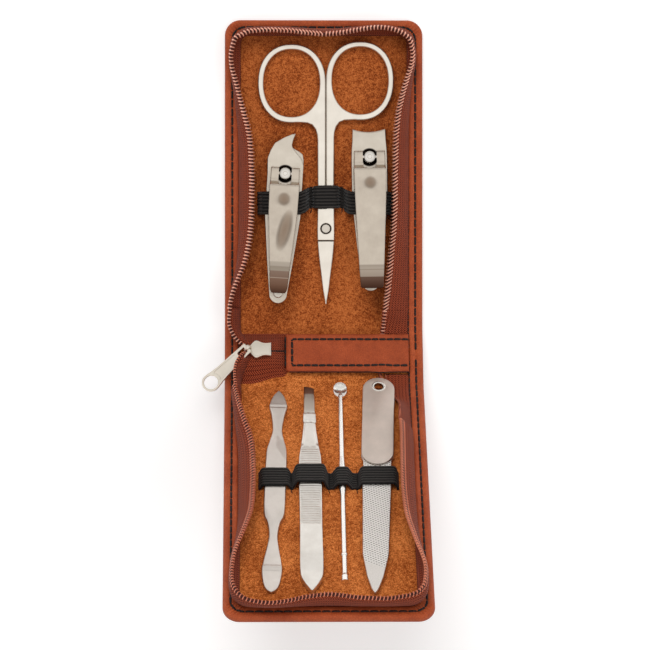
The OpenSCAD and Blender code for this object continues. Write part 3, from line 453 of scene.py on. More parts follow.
def smoothRun(rows, steps):
    # a smooth curve through every row, with some steps between each two
    rows = np.array(rows, float)
    out = []
    last = len(rows) - 1
    for i in range(last):
        p0, p1, p2, p3 = rows[max(i - 1, 0)], rows[i], rows[i + 1], rows[min(i + 2, last)]
        for k in range(steps):
            t = k / steps
            out.append(0.5 * (2 * p1 + (p2 - p0) * t + (2 * p0 - 5 * p1 + 4 * p2 - p3) * t ** 2
                              + (3 * p1 - p0 - 3 * p2 + p3) * t ** 3))
    out.append(rows[last])
    return np.array(out)


def reachAlong(points):
    # the distance of each point from the first, along the run
    return np.concatenate([[0], np.cumsum(np.linalg.norm(np.diff(points, axis=0), axis=1))])


def heading(run, i):
    # from the point before to the point after
    return run[min(i + 1, len(run) - 1)] - run[max(i - 1, 0)]


def evenRun(points, gap):
    # the same curve, with points that lie gap apart
    points = np.array(points, float)
    reach = reachAlong(points[:, :3])
    places = np.linspace(0, reach[-1], max(2, int(round(reach[-1] / gap)) + 1))
    return np.stack([np.interp(places, reach, points[:, i]) for i in range(points.shape[1])], axis=1)


def tube(name, path, radius, finish, sides):
    # a round bar along a path of points
    path = np.array(path, float)
    points, uv = [], []
    before = None
    reach = 0
    for i, spot in enumerate(path):
        ahead = heading(path, i)
        ahead /= np.linalg.norm(ahead)
        if before is None:
            before = np.cross(ahead, (0, 0, 1))
            if np.linalg.norm(before) < 0.1:
                before = np.cross(ahead, (1, 0, 0))
        side = before - ahead * np.dot(before, ahead)
        side /= np.linalg.norm(side)
        before = side
        up = np.cross(side, ahead)
        if i:
            reach += np.linalg.norm(spot - path[i - 1])
        for k in range(sides):
            angle = 2 * math.pi * k / sides
            points.append(spot + (side * math.cos(angle) + up * math.sin(angle)) * radius)
            uv.append((reach, k / sides))
    return tidyMesh(addMesh(name, points, tubeFaces(len(path), sides), finish, uv))


def inPlace(piece, where):
    # where is a matrix in millimetres
    moved = where.copy()
    moved.translation = where.translation * mm
    piece.data.transform(moved)


def standsFor(piece, slot, nodes):
    if nodes:
        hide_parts(*nodes)


def dress(piece, body, slot, *nodes):
    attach(piece, body)
    standsFor(piece, slot, nodes)


def panelPoint(half, u, v, w):
    # u across, v from the fold line into the half (negative on the spine), w above the border
    u, v, w = np.broadcast_arrays(np.asarray(u, float), np.asarray(v, float), np.asarray(w, float))
    share = smoothStep((v + case["bend"]) / (2 * case["bend"]))[..., None]
    if half == "base":
        fold, along, up, down = baseFold, (0, 1, 0), (0, 0, 1), (0, foldCos, -foldSin)
    else:
        fold, along, up, down = lidFold, (0, -lidCos, lidSin), (0, lidSin, lidCos), (0, -foldCos, foldSin)
    across = u[..., None] * np.array([1, 0, 0])
    onHalf = fold + across + v[..., None] * np.array(along) + w[..., None] * np.array(up)
    onFold = fold + across + v[..., None] * np.array(down)
    onFold = onFold + w[..., None] * np.array((0, foldSin, foldCos))
    return onHalf * share + onFold * (1 - share)


def panelPoints(half, flat):
    flat = np.asarray(flat, float)
    return panelPoint(half, flat[:, 0], flat[:, 1], flat[:, 2])


def bendsAtFold(piece, half, slot, *nodes):
    start, end = panelPoint(half, 0, case["bend"], 0), panelPoint(half, 0, -case["bend"], 0)
    tuple(start * mm)
    tuple(end * mm)
    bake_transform(piece)
    standsFor(piece, slot, nodes)


border = dict(pitch=3.1, stitch=3.0, threadWidth=0.72, lineAt=2.6, pleats=7, pleatDepth=0.42, step=0.62,
              profile=[(5.05, -1.0), (4.95, -0.55), (4.82, -0.2), (4.5, -0.03), (4.0, 0.02), (3.4, 0.01),
                       (3.0, -0.05), (2.78, -0.17), (2.6, -0.26), (2.42, -0.17), (2.2, -0.06), (1.8, 0.0),
                       (1.3, -0.02), (0.85, -0.12), (0.5, -0.3), (0.22, -0.6), (0.06, -1.05), (0, -1.6),
                       (0.04, -2.15), (0.2, -2.65), (0.5, -3.0), (0.95, -3.22), (1.6, -3.3)])


def outlineWalk(step):
    # (outer point, inner point, share of the corner passed or -1 on a straight) round three sides,
    # from the spine and back to it
    half, length = case["width"] / 2, case["length"]
    deep = case["borderWidth"]
    walk = []

    def straight(a, b, c, d):
        count = int(np.linalg.norm(np.array(b) - a) / step)
        for i in range(count):
            t = i / count
            outer, inner = [np.array(p) * (1 - t) + np.array(q) * t for p, q in ((a, b), (c, d))]
            walk.append((outer, inner, -1.0))

    def corner(side):
        outerMid = np.array([side * (half - case["cornerRadius"]), length - case["cornerRadius"]])
        innerMid = np.array([side * (half - deep - case["innerRadius"]),
                             length - deep - case["innerRadius"]])
        for i in range(45):
            angle = math.radians((90 if side > 0 else 180) - i * 2)
            way = np.array([math.cos(angle), math.sin(angle)])
            walk.append((outerMid + way * case["cornerRadius"], innerMid + way * case["innerRadius"],
                         i / 45))

    straight((-half, -case["spine"] / 2), (-half, length - case["cornerRadius"]),
             (-half + deep, -case["spine"] / 2), (-half + deep, length - deep - case["innerRadius"]))
    corner(-1)
    straight((-half + case["cornerRadius"], length), (half - case["cornerRadius"], length),
             (-half + deep + case["innerRadius"], length - deep),
             (half - deep - case["innerRadius"], length - deep))
    corner(1)
    straight((half, length - case["cornerRadius"]), (half, -case["spine"] / 2),
             (half - deep, length - deep - case["innerRadius"]), (half - deep, -case["spine"] / 2))
    walk.append((np.array([half, -case["spine"] / 2]), np.array([half - deep, -case["spine"] / 2]), -1.0))
    return walk


def makeShell(half, nodes):
    walk = outlineWalk(border["step"])
    profile = border["profile"]
    reach = 0
    points = []
    before = None
    for outer, inner, corner in walk:
        at = outer + (inner - outer) * (border["lineAt"] / case["borderWidth"])
        if before is not None:
            reach += np.linalg.norm(at - before)
        before = at
        # the thread pulls the leather down where it goes through
        beat = 0.5 + 0.5 * math.cos(2 * math.pi * reach / border["pitch"])
        lump = ripple(outer[0] * 0.16, outer[1] * 0.16, 3.1)
        for d, w in profile:
            spot = outer + (inner - outer) * (d / case["borderWidth"])
            if w > -0.9:
                near = math.exp(-((d - border["lineAt"]) / 0.75) ** 2)
                w -= 0.13 * near * beat
                w += 0.07 * lump
                if corner >= 0:
                    fade = math.sin(math.pi * corner) ** 0.35
                    groove = (0.5 + 0.5 * math.cos(2 * math.pi * corner * border["pleats"])) ** 4
                    w -= border["pleatDepth"] * groove * fade * smoothStep(d / 1.6)
            points.append((spot[0], spot[1], w))
    faces = gridFaces(len(walk), len(profile))
    # the underside closes the shell
    under = [i * len(profile) + len(profile) - 1 for i in range(len(walk))]
    faces.append(tuple(under))
    piece = addMesh(half + "Leather", points, faces, "leather")
    work = bmesh.new()
    work.from_mesh(piece.data)
    for v in range(-10, 13):
        everything = list(work.verts) + list(work.edges) + list(work.faces)
        bmesh.ops.bisect_plane(work, geom=everything, dist=1e-7, plane_co=(0, v * mm, 0), plane_no=(0, 1, 0))
    flat = np.array([vert.co for vert in work.verts]) / mm
    for vert, spot in zip(work.verts, panelPoints(half, flat)):
        vert.co = Vector(spot * mm)
    bmesh.ops.recalc_face_normals(work, faces=work.faces)
    for face in work.faces:
        face.smooth = True
    work.to_mesh(piece.data)
    work.free()
    bendsAtFold(piece, half, "leather", *nodes)


def threadLine(name, spots, ups, width, stitch, pitch):
    # separate stitches along a line; spots and ups are given at fine steps
    spots = np.array(spots, float)
    reach = reachAlong(spots)
    ups = np.array(ups, float)
    points, faces = [], []
    sides = 7
    # along the stitch, its thickness there, and its height
    rings = [(0, 0.3, -0.75), (0.05, 0.8, -0.3), (0.18, 1, 0), (0.5, 1.02, 0.12), (0.82, 1, 0),
             (0.95, 0.8, -0.3), (1, 0.3, -0.75)]
    for number in range(int(reach[-1] / pitch)):
        start = number * pitch + (pitch - stitch) / 2
        first = len(points)
        for share, size, rise in rings:
            where = start + share * stitch
            spot, ahead, up = [np.array([np.interp(at, reach, run[:, i]) for i in range(3)])
                               for at, run in ((where, spots), (where + 0.3, spots), (where, ups))]
            along = ahead - spot
            if np.linalg.norm(along) < 1e-6:
                along = spot - spots[-2]
            along /= np.linalg.norm(along)
            side = np.cross(along, up)
            side /= np.linalg.norm(side)
            centre = spot + up * (rise * width * 0.55)
            for k in range(sides):
                angle = 2 * math.pi * k / sides
                way = side * math.cos(angle) * 0.55 + up * math.sin(angle) * 0.42
                points.append(centre + way * width * size)
        faces += tubeFaces(len(rings), sides, first)
    return tidyMesh(addMesh(name, points, faces, "thread"))


def makeBorderStitching(half):
    # the border's own seam, and a second row, close together, that holds the tape to its inner edge
    walk = outlineWalk(border["step"])
    rows = [("Stitching", border["lineAt"], -0.2, border["threadWidth"], border["stitch"], border["pitch"]),
            ("InnerStitching", case["borderWidth"] + 0.03, -0.32, 0.5, 2.0, 2.15)]
    for name, inset, height, width, stitch, pitch in rows:
        share = inset / case["borderWidth"]
        line = np.array([outer + (inner - outer) * share for outer, inner, corner in walk])
        spots = panelPoint(half, line[:, 0], line[:, 1], height)
        ups = panelPoint(half, line[:, 0], line[:, 1], height + 1) - spots
        piece = threadLine(half + name, spots, ups, width, stitch, pitch)
        bendsAtFold(piece, half, "leather")


for half, nodes in (("base", ("base_cover", "spine_cover")), ("lid", ("lid_cover",))):
    makeShell(half, nodes)
    makeBorderStitching(half)
print("leather and stitching made")


def makeLining(half, finish, nodes):
    lining = dict(rows=1.6, columns=40, under=0.25, thick=0.45)
    deep = case["borderWidth"] - lining["under"]
    side = case["width"] / 2 - deep
    end = case["length"] - deep
    radius = case["innerRadius"]
    stops = list(np.arange(-case["spine"] / 2, end - radius, lining["rows"]))
    stops += [end - radius + radius * math.sin(math.radians(a)) for a in range(0, 91, 10)]
    points = []
    for v in stops:
        inset = 0
        if v > end - radius:
            inset = radius - math.sqrt(max(0, radius ** 2 - (v - end + radius) ** 2))
        for k in range(lining["columns"] + 1):
            u = (side - inset) * (2 * k / lining["columns"] - 1)
            soft = ripple(u * 0.09, v * 0.09, 7 if half == "base" else 11)
            fine = ripple(u * 0.45, v * 0.45, 2)
            points.append((u, v, -case["borderHeight"] + 0.07 * soft + 0.03 * fine - 0.02))
    flat = np.array(points)
    low = panelPoint(half, flat[:, 0], flat[:, 1], -case["borderHeight"] - lining["thick"])
    both = np.concatenate([panelPoints(half, flat), low])
    piece = tidyMesh(addMesh(half + "Suede", both, sheetFaces(len(stops), lining["columns"] + 1), finish))
    bendsAtFold(piece, half, "suede", *nodes)


makeLining("base", "suedeDarkerCopy", ("base_lining", "spine_lining"))
makeLining("lid", "suedeLighterCopy", ("lid_lining",))
for half in ("base", "lid"):
    for layer in ("padding", "board"):
        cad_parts[half + "_" + layer].data.materials[0] = finishes["padding"]
print("linings made")

# zip: standing tapes, rows of teeth, and the soft turns beside the folds
zipper = dict(tapeThick=0.6, full=10.75, teethHeight=1.5, stand=0.9, pitch=1.2)
# the wound edge's radius and its place between the teeth's feet and tops, and the teeth's width and length
bead = {"base": dict(size=0.5, share=0.5, wide=1.36, tooth=0.52),
        "lid": dict(size=0.54, share=0.45, wide=1.05, tooth=0.44)}
zipper["split"] = (zipper["full"] - zipper["teethHeight"]) / zipper["full"]
footInset = case["borderWidth"] + 0.05 + zipper["tapeThick"] / 2
footSide = case["width"] / 2 - footInset
footEnd = case["length"] - footInset
footRadius = case["innerRadius"] - 0.05 - zipper["tapeThick"] / 2

# side, place along it (per cent, or degrees on a corner), lean inward
zipWays = {
    "base": [
        (0, 5.5, -3.3), (0, 9, -2.5), (0, 12, -1.4), (0, 15, 0), (0, 19, 1.9), (0, 24, 3.5), (0, 31, 4.7),
        (0, 39, 5.1), (0, 50, 5.1), (0, 59, 4.6), (0, 64, 3.7), (0, 69, 2.2), (0, 74, 0.7), (0, 79, -0.8),
        (0, 84, -2.4), (0, 88, -2.7), (0, 91, -2), (1, 165, -1.2), (1, 135, 0.3), (1, 105, 0.3),
        (2, -85, 0), (2, -65, -0.4), (2, -40, -0.1), (2, -20, 0.6), (2, 0, 1.1), (2, 20, 0.6),
        (2, 40, -0.5), (2, 60, -1.4), (2, 75, -1.2), (2, 86, -0.3), (3, 75, 0.4), (3, 45, 0.6),
        (3, 15, 0.1), (4, 91, -0.4), (4, 88, -0.9), (4, 84.5, -0.4), (4, 81, 1), (4, 76, 2.7), (4, 70, 4.3),
        (4, 63, 5.2), (4, 56, 5.5), (4, 46, 5.7), (4, 38, 5.8), (4, 31, 6.2), (4, 26, 6.7), (4, 21, 7.2),
        (4, 16, 7.7), (4, 11, 8.2), (4, 7, 8.8), (4, 4.5, 9)],
    "lid": [
        (4, 9, -1.3), (4, 12, -0.6), (4, 16, 0.2), (4, 20, 1.2), (4, 25, 2.6), (4, 30, 4.2), (4, 37, 5.2),
        (4, 47, 5.5), (4, 56, 5.3), (4, 63, 4.6), (4, 69, 3), (4, 74, 1.4), (4, 80, -0.7), (4, 85, -1.6),
        (4, 89.5, -1.9), (3, 15, -1.8), (3, 45, -2.4), (3, 75, -3.8), (2, 88, -4.7), (2, 76, -5.4),
        (2, 62, -5.6), (2, 46, -5), (2, 30, -3.9), (2, 15, -3.1), (2, 0, -2.7), (2, -15, -3.1),
        (2, -30, -3.8), (2, -48, -4.1), (2, -65, -4.2), (2, -82, -3.5), (1, 105, -2.6), (1, 135, -1.9),
        (1, 165, -1.4), (0, 90, -1.7), (0, 86, -1.7), (0, 82, -0.8), (0, 77, 0.8), (0, 71, 2.4),
        (0, 65, 3.7), (0, 57, 4.4), (0, 49, 4.6), (0, 39, 4.4), (0, 30, 4.2), (0, 24, 4.2)]}
# top of the teeth beside each fold: x, y, height in the half's own frame, then the tape's foot there
sliderMouth = 26.4
zipTurns = {
    "base": [(-footSide - 3.7, 1, 9.4, -footSide, 1, -0.9),
             (-footSide - 2.6, -2.6, 9.2, -footSide + 0.2, -2.4, 0.1),
             (-footSide - 0.6, -5.4, 8.8, -footSide + 1.6, -4.6, 1.4),
             (-sliderMouth - 0.8, -7.4, 8.2, -25.6, -7.6, 3.6)],
    "lid": [(footSide + 1.7, 4.4, 9.8, footSide, 4.2, -0.9), (footSide + 1.3, -0.2, 10.1, footSide, 0, -0.6),
            (footSide - 0.2, -3.8, 10.3, footSide - 1.4, -4.0, 1.6), (27.6, -6.2, 9.4, 26.4, -6.6, 3.2),
            (26.4, -7.6, 7.6, 25.4, -7.8, 4.6)]}


def tapeFoot(side, at):
    if side == 0:
        return (-footSide, at * case["length"] / 100), (1, 0)
    if side == 4:
        return (footSide, at * case["length"] / 100), (-1, 0)
    if side == 2:
        return (at * footSide / 100, footEnd), (0, -1)
    mid = (-footSide + footRadius if side == 1 else footSide - footRadius, footEnd - footRadius)
    way = (math.cos(math.radians(at)), math.sin(math.radians(at)))
    return (mid[0] + footRadius * way[0], mid[1] + footRadius * way[1]), (-way[0], -way[1])


def tapeCurve(lean, t):
    # inward and up, from the foot (t = 0) to the top of the teeth (t = 1)
    full = zipper["full"]
    high = zipper["stand"] * math.sqrt(full ** 2 - lean ** 2)
    chord = math.hypot(lean, high)
    slack = chord * math.sqrt(max(0, 0.375 * (full / chord - 1)))
    return lean * t - 4 * slack * t * (1 - t), high * t


def zipStations(half):
    rows = []
    for side, at, lean in zipWays[half]:
        foot, way = tapeFoot(side, at)
        rows.append((foot[0], foot[1], way[0], way[1], lean))
    return smoothRun(rows, 8)


def makeTeeth(name, tops, lows, finish, half):
    tops = evenRun(tops, zipper["pitch"])
    lows = evenRun(lows, zipper["pitch"])
    lows = np.array([lows[min(int(i * len(lows) / len(tops)), len(lows) - 1)] for i in range(len(tops))])
    # a tooth's outline, and its sections from the foot up: (height, length, width)
    ring = [(-0.5, -0.3), (-0.46, -0.46), (-0.2, -0.5), (0.2, -0.5), (0.46, -0.46), (0.5, -0.3),
            (0.5, 0.3), (0.46, 0.46), (0.2, 0.5), (-0.2, 0.5), (-0.46, 0.46), (-0.5, 0.3)]
    stack = [(-0.1, 0.55, 0.8), (0.02, 0.8, 0.95), (0.3, 1, 1), (0.62, 1, 1), (0.86, 0.86, 0.96),
             (1.0, 0.5, 0.72)]
    points, faces = [], []
    for i in range(len(tops)):
        top, low = tops[i, :3], lows[i, :3]
        ahead = heading(tops[:, :3], i)
        ahead /= np.linalg.norm(ahead)
        up = top - low
        up -= ahead * np.dot(up, ahead)
        up /= np.linalg.norm(up)
        side = np.cross(ahead, up)
        first = len(points)
        for rise, size, wide in stack:
            centre = low + (top - low) * rise
            for a, b in ring:
                points.append(centre + ahead * b * bead[half]["tooth"] * size
                              + side * a * bead[half]["wide"] * wide)
        faces += tubeFaces(len(stack), len(ring), first)
    return tidyMesh(addMesh(name, points, faces, finish))


def makeBead(name, tops, lows, half):
    # the tape's wound edge, which the teeth clasp
    share = bead[half]["share"]
    middle = np.array(tops)[:, :3] * share + np.array(lows)[:, :3] * (1 - share)
    return tube(name, evenRun(middle, 0.6), bead[half]["size"], "bead", 10)


def tapeSpot(station, t):
    # a place on the standing tape and the direction across it; below the foot the tape goes straight down
    x, y, wayX, wayY, lean = station
    way = np.array([wayX, wayY]) / math.hypot(wayX, wayY)
    inward, high = (0, t) if t < 0 else tapeCurve(lean, t)
    return x + way[0] * inward, y + way[1] * inward, high, way[0], way[1]


def makeZipRow(half, placing, toothFinish):
    levels = [-case["borderHeight"]] + [k / 9 * (zipper["split"] + 0.04) for k in range(10)]
    stations = zipStations(half)
    sheet = np.array([[tapeSpot(station, t) for t in levels] for station in stations])
    tops = [tapeSpot(station, 1) for station in stations]
    lows = [tapeSpot(station, zipper["split"]) for station in stations]
    run = reachAlong(sheet[:, 6, :3])
    thick = zipper["tapeThick"] / 2
    points, uv = [], []
    for i, row in enumerate(sheet):
        up = reachAlong(row[:, :3])
        for side in (-1, 1):
            for j in list(range(len(levels)))[::-side]:
                x, y, z, nx, ny = row[j]
                slim = thick * (0.7 if j == len(levels) - 1 else 1)
                points.append((x + nx * slim * side, y + ny * slim * side, z))
                uv.append((run[i], up[j]))
    piece = tidyMesh(addMesh(half + "Tape", points, tubeFaces(len(sheet), 2 * len(levels)), "tape", uv))
    inPlace(piece, placing)
    dress(piece, half, "zip_tape", half + "_zip_tape")

    # the turn is a tape that narrows towards the slider
    turnRows = [tops[0][:3] + (stations[0][0], stations[0][1], -case["borderHeight"])] + zipTurns[half]
    turnRows = smoothRun(turnRows, 8)
    points, uv = [], []
    reach = 0
    for i, row in enumerate(turnRows):
        top, foot = row[:3] - (0, 0, zipper["teethHeight"] * 0.6), row[3:]
        if i:
            reach += np.linalg.norm(top - before)
        before = top
        ahead = heading(turnRows[:, :3], i)
        side = np.array([ahead[1], -ahead[0], 0])
        side /= np.linalg.norm(side)
        for sign in (-1, 1):
            for k in list(range(7))[::-sign]:
                t = k / 6
                belly = side * (0.9 * math.sin(math.pi * t)) * (-1 if half == "base" else 1)
                slim = 0.7 if k == 6 else 1
                points.append(foot + (top - foot) * t + belly + side * sign * thick * slim)
                uv.append((reach, t * np.linalg.norm(top - foot)))
    piece = tidyMesh(addMesh(half + "TurnTape", points, tubeFaces(len(turnRows), 14), "tape", uv))
    inPlace(piece, placing)
    bendsAtFold(piece, half, "zip_tape", half + "_zip_turn")

    piece = makeBead(half + "Bead", tops, lows, half)
    inPlace(piece, placing)
    dress(piece, half, "zip_tape")
    piece = makeTeeth(half + "Teeth", tops, lows, toothFinish, half)
    inPlace(piece, placing)
    dress(piece, half, "zip_teeth", half + "_zip_teeth")
    turnTops = turnRows[:, :3]
    turnLows = turnTops - np.array([0, 0, zipper["teethHeight"]])
    piece = makeBead(half + "TurnBead", turnTops, turnLows, half)
    inPlace(piece, placing)
    bendsAtFold(piece, half, "zip_tape")
    piece = makeTeeth(half + "TurnTeeth", turnTops, turnLows, toothFinish, half)
    inPlace(piece, placing)
    bendsAtFold(piece, half, "zip_teeth")


makeZipRow("base", onBase, "teethPaintedLighter")
makeZipRow("lid", onLid, "teethPaintedDarker")
print("zip rows made")


def cutPlate(name, outlines, low, high, bevel, finish, steps=3):
    # a flat plate with rounded edges; the first outline runs anticlockwise, and the others are holes
    curve = bpy.data.curves.new(name, "CURVE")
    curve.dimensions = "2D"
    curve.fill_mode = "BOTH"
    curve.extrude = ((high - low) / 2 - bevel) * mm
    curve.bevel_depth = bevel * mm
    curve.bevel_resolution = steps
    # the bevel grows outwards, so the outline is drawn in by it
    curve.offset = -bevel * mm
    for number, outline in enumerate(outlines):
        spline = curve.splines.new("POLY")
        spline.points.add(len(outline) - 1)
        area = sum(a[0] * b[1] - b[0] * a[1] for a, b in zip(outline, list(outline[1:]) + [outline[0]]))
        ordered = outline if (area > 0) == (number == 0) else list(reversed(outline))
        for point, (x, y) in zip(spline.points, ordered):
            point.co = (x * mm, y * mm, 0, 1)
        spline.use_cyclic_u = True
    holder = bpy.data.objects.new(name, curve)
    putIn(holder)
    graph = bpy.context.evaluated_depsgraph_get()
    mesh = bpy.data.meshes.new_from_object(holder.evaluated_get(graph))
    bpy.data.objects.remove(holder)
    bpy.data.curves.remove(curve)
    mesh.name = name
    mesh.transform(Matrix.Translation((0, 0, (low + high) / 2 * mm)))
    mesh.materials.clear()
    mesh.materials.append(finishes[finish])
    piece = bpy.data.objects.new(name, mesh)
    putIn(piece)
    return crisp(tidyMesh(piece, 0.002))


def crisp(piece, angle=32):
    # smooth shading that stops at edges sharper than the angle
    piece.data.polygons.foreach_set("use_smooth", [True] * len(piece.data.polygons))
    piece.data.set_sharp_from_angle(angle=math.radians(angle))
    return piece


def edgeDrop(distance, radius):
    # how far a rounded edge lies below the face, at that distance from the outline
    return radius - math.sqrt(max(0.0, radius ** 2 - max(0.0, radius - distance) ** 2))


def fineEnds(count, edge):
    # values from 0 to 1 with more of them near both ends
    near = [0, 0.06 * edge, 0.2 * edge, 0.42 * edge, 0.7 * edge]
    return near + list(np.linspace(edge, 1 - edge, count)) + [1 - v for v in reversed(near)]


def acrossWays(count, edge):
    # the same from -1 to 1
    return [2 * v - 1 for v in fineEnds(count, edge)]


def bentPlate(name, alongs, acrosses, place, depth, finish, skip=None):
    # place(s, t) gives the top surface, s from 0 to 1 along it and t from -1 to 1 across, and
    # depth(s, t) its thickness; skip(x, y) leaves holes
    grid = [[place(s, t) for t in acrosses] for s in alongs]
    rows, columns = len(alongs), len(acrosses)
    top = [spot for row in grid for spot in row]
    low = [(x, y, z - depth(s, t)) for s, row in zip(alongs, grid) for t, (x, y, z) in zip(acrosses, row)]
    kept = set()
    for i in range(rows - 1):
        for j in range(columns - 1):
            a, b = grid[i][j], grid[i + 1][j + 1]
            if not (skip and skip((a[0] + b[0]) / 2, (a[1] + b[1]) / 2)):
                kept.add((i, j))
    faces = []
    for i, j in sorted(kept):
        a, b, under = i * columns + j, (i + 1) * columns + j, len(top)
        faces.append((a, a + 1, b + 1, b))
        faces.append((under + b, under + b + 1, under + a + 1, under + a))
        sides = [((i - 1, j), a + 1, a), ((i + 1, j), b, b + 1), ((i, j - 1), a, b),
                 ((i, j + 1), b + 1, a + 1)]
        for beside, p, q in sides:
            if beside not in kept:
                faces.append((p, q, under + q, under + p))
    far = min(p[1] for p in top)
    uv = [(x, y - far) for x, y, z in top + low]
    piece = addMesh(name, top + low, faces, finish, uv)
    work = bmesh.new()
    work.from_mesh(piece.data)
    bmesh.ops.delete(work, geom=[v for v in work.verts if not v.link_faces], context="VERTS")
    bmesh.ops.recalc_face_normals(work, faces=work.faces)
    work.to_mesh(piece.data)
    work.free()
    return crisp(piece, 36)


def spun(profile, sides):
    # (radius, height) turned round Z
    return [(r * math.cos(2 * math.pi * k / sides), r * math.sin(2 * math.pi * k / sides), z)
            for r, z in profile for k in range(sides)]


def turned(name, profile, finish, sides=48):
    # a body of revolution, from the bottom up
    return crisp(tidyMesh(addMesh(name, spun(profile, sides), tubeFaces(len(profile), sides), finish)))


def openRing(name, profile, finish, sides=40):
    # a body of revolution with a bore: the profile runs once round the metal
    closed = profile + profile[:1]
    faces = gridFaces(len(closed), sides, True)
    return crisp(tidyMesh(addMesh(name, spun(closed, sides), faces, finish), 0.002), 50)


def joined(name, parts):
    # several meshes made into the first one, which takes the name
    work = bmesh.new()
    for part in parts:
        work.from_mesh(part.data)
    work.to_mesh(parts[0].data)
    work.free()
    for part in parts[1:]:
        bpy.data.objects.remove(part)
    parts[0].name = name
    return parts[0]


def arc(x, y, radius, start, end, count):
    angles = [math.radians(start + (end - start) * i / count) for i in range(count + 1)]
    return [(x + radius * math.cos(angle), y + radius * math.sin(angle)) for angle in angles]


def circle(x, y, radius):
    return arc(x, y, radius, 0, 350, 35)


# spine: the closed end of the zip, and its leather patch
patch = dict(left=-29.4, right=13.2, low=4, high=18, under=0.85, top=1.9, round=0.75, stitchIn=2.1,
             bumpAt=-19.8, bumpSize=2.6, bump=0.75)
mid = case["spine"] / 2


def riseAt(x):
    # the tapes lie low in the fold's middle and stand up towards the slider
    return smoothStep((x - 12.8) / 4.8)


def makeSpineTapes():
    # two slopes of tape that meet over the spine, with a dark closed seam between them
    section = [(2.9, -0.9), (3.6, -0.55), (4.6, 0.25), (5.8, 1.35), (6.9, 2.35), (7.9, 2.85), (9.2, 2.95),
               (10.78, 2.98)]
    section = smoothRun(section, 3)
    drop = math.tan(math.radians(case["foldAngle"]))
    for sign, name in ((-1, "spineTapeFlatSide"), (1, "spineTapeRaisedSide")):
        points, uv = [], []
        stops = np.arange(11.0, 29.6, 0.4)
        columns = 2 * len(section)
        for x in stops:
            rise = riseAt(x)
            flat = 0.22 + 0.78 * rise
            shift = 1.4 * smoothStep((x - 26.2) / 3)
            lean = 3.0 * (1 - rise) * drop
            flare = 2.6 * smoothStep((x - 15) / 11) if sign > 0 else 0.0
            for side in (1, 0):
                order = section if side else section[::-1]
                for y, z in order:
                    wave = 0.08 * ripple(x * 0.3, y * 0.4, 5 + sign)
                    high = (z + 0.9) * flat - 0.9 + wave * (y - 2.9) / 8
                    across = y - shift * (y - 2.9) / 8 - flare * max(0.0, 1 - (y - 2.9) / 5)
                    if sign > 0:
                        across += 2.2 * smoothStep((14.4 - x) / 2.6) * max(0.0, 1 - (y - 2.9) / 5)
                    across = mid + sign * (mid - across) - lean * (y - 2.9) / 8
                    points.append((x, across, high - (0 if side else 0.45)))
                    uv.append((x, y * 1.25))
        piece = tidyMesh(addMesh(name, points, tubeFaces(len(stops), columns), "tape", uv))
        inPlace(piece, onSpine)
        dress(piece, "spine", "zip_tape", *(("spine_zip_fold",) if sign > 0 else ()))
    seam = [(x, mid - 3.0 * drop * (1 - riseAt(x)), -0.25 + 3.0 * riseAt(x))
            for x in np.arange(12.4, 19.6, 0.3)]
    seam = tube("closedSeam", seam, 0.3, "thread", 10)
    inPlace(seam, onSpine)
    dress(seam, "spine", "zip_tape")
    # the closed teeth, seen from their back between the tapes and inside the slider
    parts = []
    for k in range(9):
        x = 13.6 + k * 0.62
        high = -0.35 + 2.6 * riseAt(x)
        side = 0.22 if k % 2 else -0.22
        plan = [(x - 0.24, mid - 0.75 + side), (x + 0.24, mid - 0.75 + side),
                (x + 0.24, mid + 0.75 + side), (x - 0.24, mid + 0.75 + side)]
        parts.append(cutPlate("tooth", [plan], high - 0.9, high - 0.15, 0.1, "teethPaintedDarker", 2))
    teeth = joined("closedTeeth", parts)
    inPlace(teeth, onSpine)
    dress(teeth, "spine", "zip_teeth", "spine_zip_teeth")


def patchBump(x, y):
    far = (x - patch["bumpAt"]) ** 2 + ((y - patch["high"]) * 0.75) ** 2
    return patch["bump"] * math.exp(-far / patch["bumpSize"] ** 2)


def patchTop(x, y):
    # height of the patch: rounded edges, a line pressed in by the thread, a bump over the zip's end
    edge = min(patch["right"] - x, y - patch["low"], patch["high"] - y)
    z = patch["top"] - 0.5 * max(0, 1 - edge / patch["round"]) ** 2
    z -= 0.16 * math.exp(-((edge - patch["stitchIn"]) / 0.5) ** 2)
    z += 0.12 * ripple(x * 0.22, y * 0.3, 9)
    z += 0.11 * ripple(x * 0.75 + y * 0.5, y * 0.9 - x * 0.3, 4)
    return z + patchBump(x, y)


